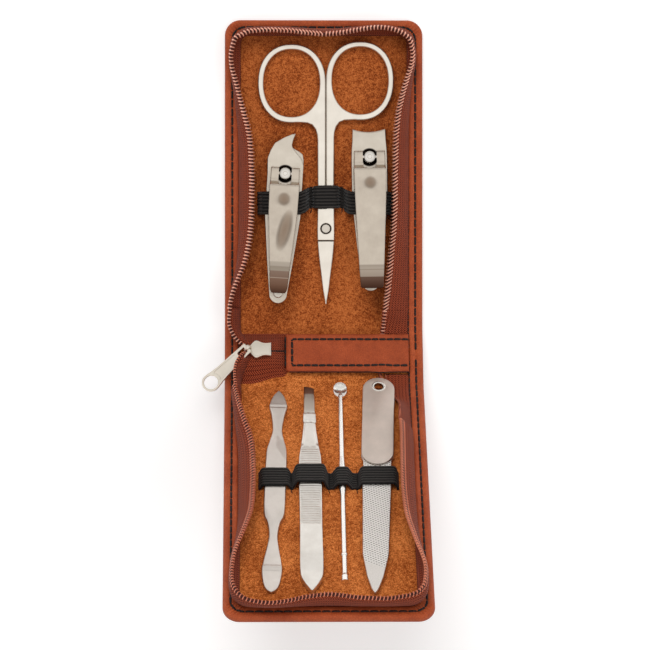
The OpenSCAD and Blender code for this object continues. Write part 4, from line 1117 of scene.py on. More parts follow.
def makePatch():
    left, right, low, high = patch["left"], patch["right"], patch["low"], patch["high"]

    def swellAt(x):
        # the bump pushes the patch's edge out
        return 0.5 * math.exp(-((x - patch["bumpAt"]) / patch["bumpSize"]) ** 2)

    def row(name, spots, width, stitch, pitch):
        spots = [np.array(onSpine @ Vector(spot)) for spot in spots]
        up = np.array(onSpine.to_3x3() @ Vector((0, 0, 1)))
        piece = threadLine(name, spots, [up] * len(spots), width, stitch, pitch)
        dress(piece, "spine", "leather")

    xs = list(np.arange(left, right - 1.2, 0.42)) + list(np.linspace(right - 1.2, right, 7))
    shares = [0, 0.012, 0.03, 0.055, 0.08] + list(np.linspace(0.11, 0.89, 26))
    shares += [0.92, 0.945, 0.97, 0.988, 1]
    points = []
    for layer in ("top", "under"):
        for x in xs:
            curve = max(0, 1 - (right - x) / 1.1)
            for share in shares:
                y0 = low + 0.5 * curve ** 2
                y1 = high - 0.5 * curve ** 2
                y = y0 + (y1 + swellAt(x) - y0) * share
                top, under = patchTop(x, min(max(y, low), high)), patch["under"] + 0.9 * patchBump(x, y)
                points.append((x, y, top if layer == "top" else under))
    piece = tidyMesh(addMesh("patch", points, sheetFaces(len(xs), len(shares)), "patch"))
    inPlace(piece, onSpine)
    dress(piece, "spine", "leather", "spine_flap")

    inset = patch["stitchIn"]
    sides = [(x, low + inset) for x in np.arange(left, right - inset, 0.4)]
    ends = [(right - inset, y) for y in np.arange(low + inset, high - inset, 0.4)]
    back = [(x, high - inset) for x in np.arange(right - inset, left, -0.4)]
    # a whole number of stitches
    run = 0.998 * (2 * (right - left - inset) + high - low - 2 * inset)
    pitch = run / round(run / 2.6)
    line = [(x, y, patchTop(x, y) + 0.05) for x, y in sides + ends + back]
    row("patchStitching", line, 0.76, pitch, pitch)
    # a dark cord along the patch's lower edge shows as a dark line below the patch
    rim = [(x, high + 0.02 + swellAt(x), patchTop(x, high) - 0.32) for x in np.arange(left, right - 1, 0.6)]
    rim = tube("patchRim", rim, 0.26, "thread", 8)
    inPlace(rim, onSpine)
    dress(rim, "spine", "leather")
    line = [(right + 0.12, y, 1.1) for y in np.arange(low + 0.8, high - 0.8, 0.4)]
    row("patchEdge", line, 0.75, 2.2, 2.25)


makeSpineTapes()
makePatch()
print("spine pieces made")

slider = dict(mouth=sliderMouth, nose=18.4, plate=0.8, gap=1.9, low=1.4, width=6.4, turn=43, droop=10)
slider["top"] = slider["low"] + 2 * slider["plate"] + slider["gap"]
hinge = (slider["mouth"] + 0.2, mid, slider["top"] + 0.9)
atHinge = Matrix.Translation(hinge) @ spin(slider["turn"], "Z")


def makeSlider():
    mouth, nose, half = slider["mouth"], slider["nose"], slider["width"] / 2
    side = [(nose, half - 0.75), (nose + 1.9, half - 0.95), (nose + 3.2, half - 0.72),
            (mouth - 3.4, half - 0.08), (mouth - 2.7, half), (mouth - 2.1, half - 0.3),
            (mouth - 1.2, half - 1.35), (mouth - 0.3, half - 2.3), (mouth, 0.6)]
    side = [tuple(p) for p in smoothRun(side, 3)]
    plan = [(x, mid - y) for x, y in side] + [(x, mid + y) for x, y in reversed(side)]
    inner = [(nose + 0.55 + (x - nose) * 0.88, mid + (y - mid) * 0.8) for x, y in plan]
    top, low, plate = slider["top"], slider["low"], slider["plate"]
    parts = [cutPlate("sliderBody", [plan], low, low + plate, 0.25, "slider"),
             cutPlate("rim", [plan, inner], top - plate, top, 0.14, "slider"),
             cutPlate("face", [plan], top - plate, top - 0.16, 0.2, "slider")]
    # the wedge that parts the two rows, and the guides along both sides
    wedge = [(mouth - 2.6, mid), (mouth - 1.4, mid - 0.55), (mouth, mid - 0.7), (mouth, mid + 0.7),
             (mouth - 1.4, mid + 0.55)]
    parts.append(cutPlate("wedge", [wedge], low + 0.4, top - 0.4, 0.1, "slider"))
    for sign in (-1, 1):
        guide = [(x, mid + sign * (y - 0.02)) for x, y in side[6:-9]]
        guide += [(x, mid + sign * (y - 0.5)) for x, y in reversed(side[6:-9])]
        parts.append(cutPlate("guide", [guide], top - plate - 0.45, top - 0.3, 0.08, "slider"))
        parts.append(cutPlate("guide", [guide], low + 0.3, low + plate + 0.4, 0.08, "slider"))
    # the arch that holds the pull
    loop = [(-1.25, -0.4), (-1.22, 0.5), (-1.0, 1.25), (-0.45, 1.72), (0.25, 1.72), (0.75, 1.3),
            (0.95, 0.6), (0.9, -0.4)]
    loop = smoothRun(loop, 4)
    ring = [(-0.7, -0.2), (-0.7, 0.1), (-0.5, 0.26), (0.5, 0.26), (0.7, 0.1), (0.7, -0.2), (0.5, -0.3),
            (-0.5, -0.3)]
    points = []
    for i, (along, high) in enumerate(loop):
        ahead = heading(loop, i)
        out = np.array([-ahead[1], ahead[0]]) / np.linalg.norm(ahead)
        for a, b in ring:
            points.append((along + out[0] * b, a, high + out[1] * b + top - hinge[2]))
    arch = tidyMesh(addMesh("arch", points, tubeFaces(len(loop), 8), "slider"))
    inPlace(arch, atHinge)
    parts.append(arch)
    body = joined("zipSlider", parts)
    crisp(body, 40)
    inPlace(body, onSpine)
    dress(body, "slider", "slider_metal", "zip_slider")


def makePull():
    pull = dict(length=17.4, ring=3.2, hole=2.45, neck=1.9, waist=2.4)
    reach = pull["length"]
    side = [(-0.35, pull["neck"] - 0.25), (0, pull["neck"]), (reach - 6, pull["waist"]),
            (reach - 3, pull["waist"] + 0.32), (reach - 0.8, pull["ring"] - 0.08)]
    cap = arc(reach, 0, pull["ring"], 82, -82, 40)
    plan = side + cap + [(x, -y) for x, y in reversed(side)]
    hole = circle(reach, 0, pull["hole"])
    slot = [(1.0, -1.05), (3.6, -1.05), (4.0, -0.7), (4.0, 0.7), (3.6, 1.05), (1.0, 1.05), (0.75, 0.8),
            (0.75, -0.8)]
    panel = [(4.9, 1.35), (4.9, -1.35), (reach - 6, -1.72), (reach - 3.4, -1.85), (reach - 2.9, -1.5)]
    panel += [(reach - 3.25 - 0.35 * math.cos(math.radians(a)), 1.5 * math.sin(math.radians(a)))
              for a in range(-60, 61, 20)]
    panel += [(reach - 2.9, 1.5), (reach - 3.4, 1.85), (reach - 6, 1.72)]
    parts = [cutPlate("pullBody", [plan, hole, slot], -0.28, 0.28, 0.1, "slider"),
             cutPlate("rim", [plan, hole, slot, panel], -0.45, 0.45, 0.16, "slider")]
    pin = turned("pin", [(0.3, -1.8), (0.5, -1.7), (0.5, 1.7), (0.3, 1.8)], "slider", 24)
    inPlace(pin, spin(90, "X"))
    body = joined("zipPull", parts + [pin])
    crisp(body, 40)
    inPlace(body, onSpine @ (atHinge @ spin(slider["droop"], "Y")))
    dress(body, "pull", "slider_metal", "zip_pull")


makeSlider()
makePull()
print("slider and pull made")

scissors = dict(x=0.7, y=33.6, ringAt=51.1, ringWide=23.6, ringLong=27.4, rim=2.0, low=0.5, half=1.2,
                gap=0.1, shank=2.75, blade=26.3, bladeWide=5.8, line=-4.3)
onScissors = onBase @ Matrix.Translation((scissors["x"], scissors["y"], -case["borderHeight"]))


def oval(cx, cy, a, b, start, end, count):
    # a slightly squared ellipse, between two angles
    out = []
    for i in range(count + 1):
        t = math.radians(start + (end - start) * i / count)
        c, s = math.cos(t), math.sin(t)
        wide, high = [math.copysign(abs(v) ** (2 / 2.2), v) for v in (c, s)]
        out.append((cx + a * wide, cy + b * high))
    return out


def makeScissorHalf(name, side, body, shift):
    s = scissors
    gap = s["gap"]

    def mirror(points):
        return [(side * x, y) for x, y in points]

    cx, cy = s["ringWide"] / 2 + gap, s["ringAt"] + shift
    a, b = s["ringWide"] / 2, s["ringLong"] / 2
    thick = 2 * s["half"] + gap
    # the shank's inner edge runs into the ring, and a fillet leads from the ring's end to its outer edge
    outer = s["shank"] + gap
    plan = [(gap, 7.5), (outer, 7.5), (outer + 0.05, cy - b - 6.2), (outer + 0.2, cy - b - 4.2),
            (outer + 0.75, cy - b - 2.3), (outer + 1.9, cy - b - 0.75), (outer + 3.6, cy - b - 0.1),
            (outer + 5.4, cy - b + 0.02)]
    plan += oval(cx, cy, a, b, -97, 178, 76)
    plan += [(gap, cy - 1.5), (gap, cy - 8), (gap, cy - 16)]
    inside = oval(cx + 0.05, cy + 0.1, a - s["rim"], b - s["rim"] + 0.05, 0, 356, 80)
    plans = [mirror(plan), mirror(inside)]
    parts = [cutPlate("grip", plans, s["low"], s["low"] + thick, 0.5, "scissors", 4)]
    low = s["low"] + (s["half"] + gap if side > 0 else 0)
    high = low + s["half"]
    wide = s["bladeWide"] / 2
    hole = circle(0, 0, 1.85 if side > 0 else 1.2)
    upper = [(-wide, s["line"] + 0.25), (wide, s["line"] + 0.25), (wide + 0.08, 0), (wide, 3)]
    upper += [(outer, 7.8), (gap, 7.8), (gap, 7.0), (-outer, 7.0), (-wide, 3), (-wide - 0.08, 0)]
    parts.append(cutPlate("crossing", [mirror(upper), hole], low, high, 0.3, "scissors"))
    # the blade, a little below the crossing, narrows to the point
    rows = smoothRun([(s["line"] - 0.05, wide - 0.02), (-s["blade"] * 0.3, wide - 0.28),
                      (-s["blade"] * 0.45, wide - 0.72), (-s["blade"] * 0.62, 1.62),
                      (-s["blade"] * 0.8, 1.02), (-s["blade"] * 0.93, 0.45), (-s["blade"], 0.08)], 4)
    edge = [(x, y) for y, x in rows] + [(-x, y) for y, x in reversed(rows)]
    parts.append(cutPlate("blade", [edge], low + 0.05, high - 0.08, 0.34, "scissors"))
    # painted shade: a dark plate under the groove between the crossing and the blade, for the shade in it
    paintedShadePlate = [(-wide + 0.3, s["line"] - 1), (wide - 0.3, s["line"] - 1), (wide - 0.3, s["line"] + 1),
              (-wide + 0.3, s["line"] + 1)]
    seam = cutPlate(name + "Seam", [paintedShadePlate], low + 0.1, high - 0.3, 0.1, "shade")
    inPlace(seam, onScissors)
    dress(seam, body, "satin_steel")
    piece = joined(name, parts)
    crisp(piece, 36)
    inPlace(piece, onScissors)
    dress(piece, body, "satin_steel", name)


makeScissorHalf("scissors_left", -1, "scissors_left_half", -0.5)
makeScissorHalf("scissors_right", 1, "scissors_right_half", 0.45)
rivetTop = scissors["low"] + 2 * scissors["half"] + scissors["gap"]
pin = turned("scissorsRivet", [(1.5, 0.06), (1.85, 0.12), (1.85, 0.32), (1.0, 0.36), (1.0, rivetTop - 1.0),
                               (1.42, rivetTop - 0.95), (1.5, rivetTop - 0.2), (1.42, rivetTop + 0.06),
                               (1.2, rivetTop + 0.12), (0.4, rivetTop + 0.13)],
             "satin")
inPlace(pin, onScissors)
dress(pin, "scissors_pivot", "bright_steel", "scissors_rivet")
# painted shade: a dark ring round the rivet, for the shadow round its head
gap = turned("rivetPaintedShadeRing", [(1.3, rivetTop - 0.9), (1.8, rivetTop - 0.88), (1.8, rivetTop - 0.3),
                          (1.4, rivetTop - 0.28)], "shade")
inPlace(gap, onScissors)
dress(gap, "scissors_pivot", "bright_steel")
print("scissors made")

clipper = dict(half=6.2, leaf=1.1, gap=0.12, rise=3.7, jawLow=1.9, jawGap=1.5, pin=6.8, lever=1.0,
               leverLow=9.4, rivetBack=3.4, post=1.7, slope=0.0787, front=2.1)
# left and right are the sides of the jaw in front of the post, as (distance, place across)
tools = {
    "angled": dict(x=-13.5, y=52.6, turn=-3.4, tail=45, head=14.3, wide=5.2, leverEnd=3.0, leverTail=41.6,
                   tip=2.4,
                   left=[(0, -6.2), (3, -6.35), (5.3, -6.4), (8, -5.5), (10.5, -4.2), (12.6, -1.1),
                         (14.3, 2.5)],
                   right=[(0, 6.2), (5.2, 6.2), (7.2, 5.8), (8.1, 4.6), (9.1, 2.5), (9.9, 1.8), (12, 2.1),
                          (14.3, 2.9)],
                   upperRight=[(0, 6.2), (3.4, 6.2), (5.6, 5.2), (7.4, 3.5), (9.1, 2.1), (10.2, 1.8),
                               (12, 2.1), (14.3, 2.9)],
                   hollow=0),
    "straight": dict(x=15.8, y=58.4, turn=0.8, tail=46.4, head=10, wide=5.6, leverEnd=3.9, leverTail=45.6,
                     tip=1.2,
                     left=[(0, -6.2), (3, -6.1), (6, -5.85), (10, -5.7)],
                     right=[(0, 6.2), (3, 6.1), (6, 5.85), (10, 5.7)],
                     upperRight=[(0, 6.2), (3, 6.1), (6, 5.85), (10, 5.7)], hollow=1.05)}


def along(rows, at):
    return float(np.interp(at, [r[0] for r in rows], [r[1] for r in rows]))


def leafHalf(tail, back):
    # half width of a leaf behind the post
    half, end = clipper["half"], 3.1
    if back < 15:
        return half
    if tail - back > 15:
        return half - 1.6 * (back - 15) / (tail - 30)
    left = tail - back
    if left > end:
        return end + (half - 1.6 - end) * (left - end) / (15 - end)
    return math.sqrt(max(0.0, end ** 2 - (end - left) ** 2))


def leafHeights(kind, upper):
    # (distance in front of the post, height of the leaf's top)
    c, head = clipper, tools[kind]["head"]
    if not upper:
        return [(-60, c["leaf"]), (head - 4, c["leaf"]), (head - 0.9, c["jawLow"]), (head, c["jawLow"])]
    flat = 2 * c["leaf"] + c["gap"]
    return [(-60, flat), (-40, flat), (-6, c["rise"] + c["leaf"] - 0.05),
            (head - 4.8, c["rise"] + c["leaf"]), (head - 3.2, c["rise"] + c["leaf"] - 0.12),
            (head - 1.2, c["jawLow"] + c["jawGap"] + 0.95), (head, c["jawLow"] + c["jawGap"] + 0.7)]


def toolPlace(kind):
    t = tools[kind]
    return onBase @ Matrix.Translation((t["x"], t["y"], -case["borderHeight"])) @ spin(t["turn"], "Z")


def makeLeaf(kind, upper):
    c, t = clipper, tools[kind]
    name = kind + ("_upper_leaf" if upper else "_lower_leaf")
    heights = leafHeights(kind, upper)
    rightSide = t["upperRight" if upper else "right"]
    early = 0.3 if upper else 0.0
    hole = 2.1 if upper else 1.82

    def place(s, across):
        front = t["head"] - early - t["hollow"] * (1 - across ** 2)
        y = -t["tail"] + (front + t["tail"]) * s
        if y < 0:
            half = leafHalf(t["tail"], -y)
            x, edge = across * max(half, 0.03), (1 - abs(across)) * half
        else:
            left, right = along(t["left"], y), along(rightSide, y)
            x, edge = left + (right - left) * (across + 1) / 2, (1 - abs(across)) * (right - left) / 2
        z = along(heights, y) - edgeDrop(min(edge, front - y, y + t["tail"] + 0.3), 0.22)
        return x, y, z

    def depth(s, across):
        return c["leaf"] - 0.2

    def inHole(x, y):
        return math.hypot(x, y) < hole

    piece = bentPlate(name, fineEnds(150, 0.02), acrossWays(27, 0.045), place, depth,
                      "leaf" + kind.capitalize(), inHole)
    inPlace(piece, toolPlace(kind))
    dress(piece, kind + ("_jaw" if upper else "_body"), "satin_steel", name)


def makeLever(kind):
    c, t = clipper, tools[kind]
    end, pin = t["leverTail"], c["pin"]
    # the bar over the cross pin, a step, then the plate, whose end turns up in three short bends
    crest = c["leverLow"] + c["lever"]
    heights = [(-2.1, pin + 1.1), (-1.5, pin + 1.5), (-0.6, pin + 1.62), (1.6, pin + 1.6), (2.5, pin + 1.35),
               (2.9, pin + 1.5), (3.9, crest - 0.3), (4.5, crest)]
    bend = [(4.5, 0), (end - 8.6, 0), (end - 5.4, 0.18), (end - 2.5, 0.6), (end, 1.25)]
    widths = [(-2.1, t["wide"] - 0.3), (3.4, t["wide"] - 0.2), (4.4, t["wide"]), (14, t["wide"] - 0.2),
              (end - 8, t["leverEnd"] + 0.45), (end, t["leverEnd"])]

    def place(s, across):
        back = -c["front"] + (end + c["front"]) * s
        half = along(widths, back)
        left = end - back
        if left < t["tip"]:
            half -= (0.42 * t["tip"]) * (1 - math.sqrt(max(0.0, 1 - (1 - left / t["tip"]) ** 2)))
        x = across * half
        z = along(heights, back) if back < 4.5 else crest + (back - 4.5) * c["slope"] + along(bend, back)
        z -= 0.6 * math.exp(-((x / 2.2) ** 2 + ((back - 9.0) / 1.9) ** 2) ** 1.7)
        if kind == "angled":
            slant = x - 0.9 + (back - 19.5) * 0.17
            z -= 0.8 * math.exp(-((slant / 2.1) ** 2 + ((back - 19.8) / 6.4) ** 2) ** 2.3)
        z -= edgeDrop(min((1 - abs(across)) * half, left, back + c["front"]), 0.34)
        return x, -back, z

    def depth(s, across):
        return along([(-2.1, 1.6), (-1.4, 2.6), (0, 3.0), (1.6, 2.4), (2.9, 1.2), (4.5, c["lever"] - 0.15)],
                     -c["front"] + (end + c["front"]) * s)

    slotHalf = c["post"] + 0.65
    acrosses = sorted(acrossWays(33, 0.045) + [slotHalf / t["wide"], -(slotHalf / t["wide"])])

    def inSlot(x, y):
        return abs(x) < slotHalf and y > -3.9 + 0.075 * x * x

    piece = bentPlate(kind + "_lever", fineEnds(170, 0.012), acrosses, place, depth,
                      "lever" + kind.capitalize(), inSlot)
    cross = turned(kind + "CrossPin", [(0.4, -4.6), (0.6, -4.5), (0.6, 4.5), (0.4, 4.6)], "bright", 20)
    inPlace(cross, Matrix.Translation((0, 0, pin)) @ spin(90, "Y"))
    for part in (piece, cross):
        inPlace(part, toolPlace(kind))
        dress(part, kind + "_lever", "bright_steel", kind + "_lever")


def makePost(kind):
    r, pin = clipper["post"], clipper["pin"]
    top = pin + 1.55
    profile = [(r + 0.6, 0.06), (r + 0.7, 0.15), (r + 0.7, 0.42), (r + 0.6, 0.5), (r, 0.52), (r, pin - 1.3),
               (r - 0.35, pin - 1.0), (r - 0.35, pin - 0.8), (r + 0.3, pin - 0.6), (r + 0.3, top - 0.7),
               (r + 0.16, top - 0.35), (r - 0.3, top - 0.1), (r - 0.9, top - 0.02), (r - 1.05, top - 0.18),
               (r - 1.3, top - 0.22)]
    piece = turned(kind + "_post", profile, "bright", 40)
    inPlace(piece, toolPlace(kind))
    dress(piece, kind + "_post", "bright_steel", kind + "_post")


def makeTailRivet(kind):
    c, t = clipper, tools[kind]
    top = 2 * c["leaf"] + c["gap"] + 0.25
    profile = [(0.9, 0.05), (1.0, 0.12), (1.0, top), (1.6, top + 0.02), (1.6, top + 0.2),
               (1.35, top + 0.42), (0.8, top + 0.5)]
    piece = turned(kind + "_tail_rivet", profile, "satin", 32)
    inPlace(piece, Matrix.Translation((0, -t["tail"] + c["rivetBack"], 0)))
    inPlace(piece, toolPlace(kind))
    dress(piece, kind + "_body", "bright_steel", kind + "_tail_rivet")


for kind in tools:
    makeLeaf(kind, False)
    makeLeaf(kind, True)
    makeLever(kind)
    makePost(kind)
    makeTailRivet(kind)
print("clippers made")

band = dict(width=8.0, thick=0.8, ribs=7, rib=0.3, round=0.45, step=0.3)
bandWays = {
    "base": dict(at=44.6, sag=2.2, tacks=(-4.5, 6.3), tail=(-3.4, -4.4, -5.4), path=[
        (-23.3, 0), (-22.4, 0), (-20.9, 5.0), (-7.1, 5.0), (-5.5, 0), (-3.5, 0), (-2.65, 3.1), (4.05, 3.1),
        (5.1, 0), (7.6, 0), (9.2, 4.6), (22.6, 4.6), (23.4, 0), (24.2, 0)]),
    "lid": dict(at=45.8, sag=0.0, tacks=(-10.4, -1.0, 11.6), tail=(3.36, 4.38, 5.4), path=[
        (-23.8, 0), (-22.7, 3.1), (-12.2, 3.1), (-11.1, 0), (-8.4, 0), (-6.8, 2.85), (-4.0, 2.85), (-2.4, 0),
        (-0.2, 0), (1.2, 4.3), (9.6, 4.3), (11, 0), (12.2, 0), (13.2, 2.4), (21.2, 2.4), (22.2, 0)])}


def makeBand(half, placing):
    way = bandWays[half]
    path = evenRun([(x, 0, z) for x, z in way["path"]], band["step"])
    # the corners of the path are rounded by a short moving mean
    reach = max(1, int(band["round"] / band["step"]))
    soft = np.array([path[max(0, i - reach):i + reach + 1].mean(axis=0) for i in range(len(path))])
    points, uv = [], []
    columns = band["ribs"] * 8
    run = 0
    for i, spot in enumerate(soft):
        ahead = heading(soft, i)
        ahead /= np.linalg.norm(ahead)
        up = np.array([-ahead[2], 0, ahead[0]])
        if i:
            run += np.linalg.norm(spot - soft[i - 1])
        near = max(math.exp(-((spot[0] - tack) / 1.5) ** 2) for tack in way["tacks"])
        halfWidth = band["width"] / 2 * (1 - 0.13 * near)
        sway = 0.1 * ripple(spot[0] * 0.3, 1.7, way["at"])
        sway -= way["sag"] * smoothStep((abs(spot[0] - 0.7) - 5.2) / 4)
        top, low = [], []
        for k in range(columns + 1):
            share = 2 * k / columns - 1
            swell = abs(math.sin(math.pi * band["ribs"] * k / columns)) ** 0.7
            high = band["thick"] - band["rib"] * (1 - swell) - 0.12 * near
            y = way["at"] + share * halfWidth + sway
            top.append((spot + up * high) * (1, 0, 1) + (0, y, 0))
            low.append((spot + up * 0.06) * (1, 0, 1) + (0, y, 0))
        points += top + low[::-1]
        there = [(run, k / columns * band["width"]) for k in range(columns + 1)]
        uv += there + there[::-1]
    points = np.array(points) - (0, 0, case["borderHeight"])
    faces = tubeFaces(len(soft), 2 * (columns + 1))
    piece = tidyMesh(addMesh(half + "_elastic", points, faces, "elastic", uv))
    crisp(piece, 50)
    inPlace(piece, placing)
    dress(piece, half, "elastic", half + "_elastic")
    # each tack is two turns of thread over the band, and a loose tail
    parts = []
    for tack in way["tacks"]:
        for shift in (-0.28, 0.28):
            run = [(tack + shift, way["at"] - 3.7, -0.1), (tack + shift * 0.6, way["at"] - 3.2, 0.62),
                   (tack, way["at"], 0.72), (tack - shift * 0.6, way["at"] + 3.2, 0.62),
                   (tack - shift, way["at"] + 3.7, -0.1)]
            parts.append(tube("tack", smoothRun(run, 5), 0.17, "thread", 8))
        start, middle, end = way["tail"]
        run = [(tack, way["at"] + start, 0.25), (tack + 0.15, way["at"] + middle, 0.2),
               (tack - 0.1, way["at"] + end, 0.1)]
        parts.append(tube("tack", smoothRun(run, 4), 0.15, "thread", 8))
    tacks = joined(half + "Tacks", parts)
    inPlace(tacks, placing @ Matrix.Translation((0, 0, -case["borderHeight"])))
    dress(tacks, half, "elastic")


makeBand("base", onBase)
makeBand("lid", onLid)
print("elastics made")


def makeFlap(name, half, teeth, *nodes):
    rows = smoothRun(zipEnds[half], 7)
    count = 12
    points, uv, tops, lows = [], [], [], []
    for v, footW, topU, topW, belly in rows:
        foot, top = np.array([footSide, footW]), np.array([topU, topW])
        along = top - foot
        length = np.linalg.norm(along)
        out = np.array([-along[1], along[0]]) / length
        if out[1] < 0:
            out = -out
        for side in (1, -1):
            for k in list(range(count + 1))[::side]:
                t = k / count
                spot = foot + along * t + out * (belly * math.sin(math.pi * t) + side * 0.24)
                points.append((spot[0], v, spot[1]))
                uv.append((v, t * length))
        tops.append((topU, v, topW))
        back = foot + along * (1 - zipper["teethHeight"] / length)
        lows.append((back[0], v, back[1]))
    faces = tubeFaces(len(rows), 2 * (count + 1))
    piece = tidyMesh(addMesh(name, panelPoints(half, points), faces, "tape", uv))
    bendsAtFold(piece, half, "zip_tape", *nodes)
    tops, lows = panelPoints(half, tops), panelPoints(half, lows)
    if teeth:
        bendsAtFold(makeBead(name + "Bead", tops, lows, half), half, "zip_tape")
        bendsAtFold(makeTeeth(name + "Teeth", tops, lows, teeth, half), half, "zip_teeth")
    else:
        # the tape's folded edge
        bendsAtFold(tube(name + "Edge", tops, 0.42, "fold", 12), half, "zip_tape")


# each row: v, the foot's height, the top (u, w), how far the tape bulges
zipEnds = {
    "base": [(4.9, 0, 20.3, 5.2, 1.0), (2.4, -0.1, 20.15, 4.4, 0.8), (0, -0.3, 19.95, 3.2, 0.5),
             (-2.0, -0.5, 19.75, 1.9, 0.2), (-3.6, -0.6, 19.6, 0.75, 0)],
    "lid": [(-3.6, -0.55, 21.2, -0.4, 0.1), (0, -0.5, 21.8, -0.35, 0.15), (4, -0.45, 22.9, -0.25, 0.15),
            (8, -0.3, 24.6, 0.6, 0.2), (12, -0.2, 25.3, 3.4, 0.3), (16, -0.1, 25.4, 6.2, 0.5),
            (20.5, 0, 25.25, 8.0, 0.7), (25.4, 0, 25.05, 8.75, 0.8)]}
makeFlap("baseZipEnd", "base", "teethPaintedLighter")
makeFlap("lidZipEnd", "lid", None, "lid_zip_end")
stub = smoothRun([(19.2, -4.2, -0.4), (19.7, -2.6, -0.3), (20.5, -0.6, -0.35), (21.3, 1.6, -0.45),
                  (22.0, 3.4, -0.5)], 6)
bendsAtFold(tube("zipStub", panelPoints("lid", stub), 0.62, "fold", 16), "lid", "zip_tape")
print("zip ends made")


def onLining(x, y, z=0.0, turn=0.0):
    moved = onLid @ Matrix.Translation((x, y, z - case["borderHeight"]))
    return moved @ spin(turn, "Z")


def makePusher():
    pusher = dict(length=92.6, thin=1.7, grip=2.3, ridge=7.6, paddle=82)
    rows = smoothRun([(0, 0.1), (3, 1.9), (7.9, 3.05), (12, 2.3), (19.4, 1.6), (25, 2.6), (30.2, 3.45),
                      (44, 3.5), (58, 3.45), (62, 2.2), (67, 1.45), (72, 1.8), (81.4, 3.25), (86, 3.1),
                      (89.4, 2.5), (91.5, 1.5), (92.6, 0.1)], 3)

    def place(s, t):
        y = pusher["length"] * s
        half = max(0.05, along(rows, y))
        x = half * t
        grip = min(pusher["grip"], pusher["grip"] + 0.09 * (y - 28.5) - 0.17 * abs(x),
                   pusher["grip"] + 0.09 * (61.6 - y) - 0.17 * abs(x))
        z = max(grip, pusher["thin"] - 0.16 * t * t)
        if y < 14:
            # the spade: a facet down to the point, and a ridge with a groove behind it
            past = y - pusher["ridge"]
            z = pusher["thin"] - 0.07 * max(0.0, -past) + 0.05 * math.exp(-(past / 0.3) ** 2)
            z -= 0.16 * math.exp(-((past - 0.7) / 0.32) ** 2)
            z -= 0.16 * t * t * smoothStep((y - 9) / 4)
        if y > pusher["paddle"] - 3:
            past = y - pusher["paddle"]
            z += 0.28 * math.exp(-(past / 0.7) ** 2) - 0.35 * smoothStep(past / 1.6)
        z -= edgeDrop(min((1 - abs(t)) * half, pusher["length"] - y + 0.1, y + 0.1), 0.3)
        return x, y, z

    def depth(s, t):
        y = pusher["length"] * s
        low = 0.7 - 0.55 * smoothStep((y - 14) / 14) * (1 - smoothStep((y - 59) / 10))
        return max(0.35, place(s, t)[2] - low)

    piece = bentPlate("cuticle_pusher", fineEnds(220, 0.01), acrossWays(19, 0.08), place, depth, "tool")
    inPlace(piece, onLining(15.7, 3.5, 0, -1.9))
    dress(piece, "pusher", "satin_steel", "cuticle_pusher")


def makeTweezerLeg(upper):
    twz = dict(length=92.4, thick=0.9, ribsFrom=28.8, ribsTo=64, ribPitch=1.05, collar=(12.9, 17))
    rows = smoothRun([(0, 0.7), (4.5, 1.75), (13.5, 1.9), (20, 2.2), (29, 3.1), (37, 3.8), (64, 3.7),
                      (83, 3.8), (88, 2.8), (92.4, 0.3)], 3)
    tops = [(0, 4.0), (6, 4.1), (58, 3.9), (76, 3.6), (84, 2.95), (92.4, 2.95)]
    lows = [(0, 0.9), (6, 1.0), (58, 1.0), (76, 1.3), (84, 1.95), (92.4, 1.95)]

    def place(s, t):
        tip = 0.7 - 0.5 * t
        y = tip * (1 - s) + twz["length"] * s
        half = max(0.06, along(rows, y))
        if y < 4.4:
            half = max(half, 1.72)
        x = half * t
        z = along(tops if upper else lows, y)
        if upper:
            z -= 0.22 * abs(t) ** 3 * (1 - smoothStep((y - 40) / 30) * 0.6)
            ribs = twz["ribsFrom"] < y < twz["ribsTo"]
            if ribs and abs(t) < 0.9:
                z -= 0.15 * (0.5 + 0.5 * math.cos(2 * math.pi * (y - twz["ribsFrom"]) / twz["ribPitch"]))
            if twz["collar"][0] < y < twz["collar"][1]:
                half += 0.22
                x = half * t
                z += 0.22
            for groove in twz["collar"]:
                z -= 0.26 * math.exp(-((y - groove) / 0.28) ** 2)
            if twz["collar"][1] < y < twz["ribsFrom"]:
                z -= 0.3 * smoothStep((abs(t) - 0.6) / 0.22) * smoothStep((twz["ribsFrom"] - y) / 2)
        z -= edgeDrop(min((1 - abs(t)) * half, twz["length"] - y + 0.15), 0.24)
        return x, y, z

    name = "tweezer_upper_leg" if upper else "tweezer_lower_leg"
    # eight rows a rib, where the ribs are
    reach = twz["length"]
    stops = [0, 0.001, 0.003] + list(np.arange(0.005, twz["ribsFrom"] / reach, 0.0035))
    stops += list(np.arange(twz["ribsFrom"], twz["ribsTo"], twz["ribPitch"] / (8 if upper else 1)) / reach)
    stops += list(np.arange(twz["ribsTo"] / reach, 0.995, 0.006)) + [0.996, 0.998, 1]

    def depth(s, t):
        return twz["thick"] - (0.2 if upper else 0)

    piece = bentPlate(name, stops, acrossWays(17, 0.09), place, depth, "tweezer" if upper else "tool")
    inPlace(piece, onLining(5.4, 4.2))
    dress(piece, "tweezer_upper" if upper else "tweezer_lower", "satin_steel", name)


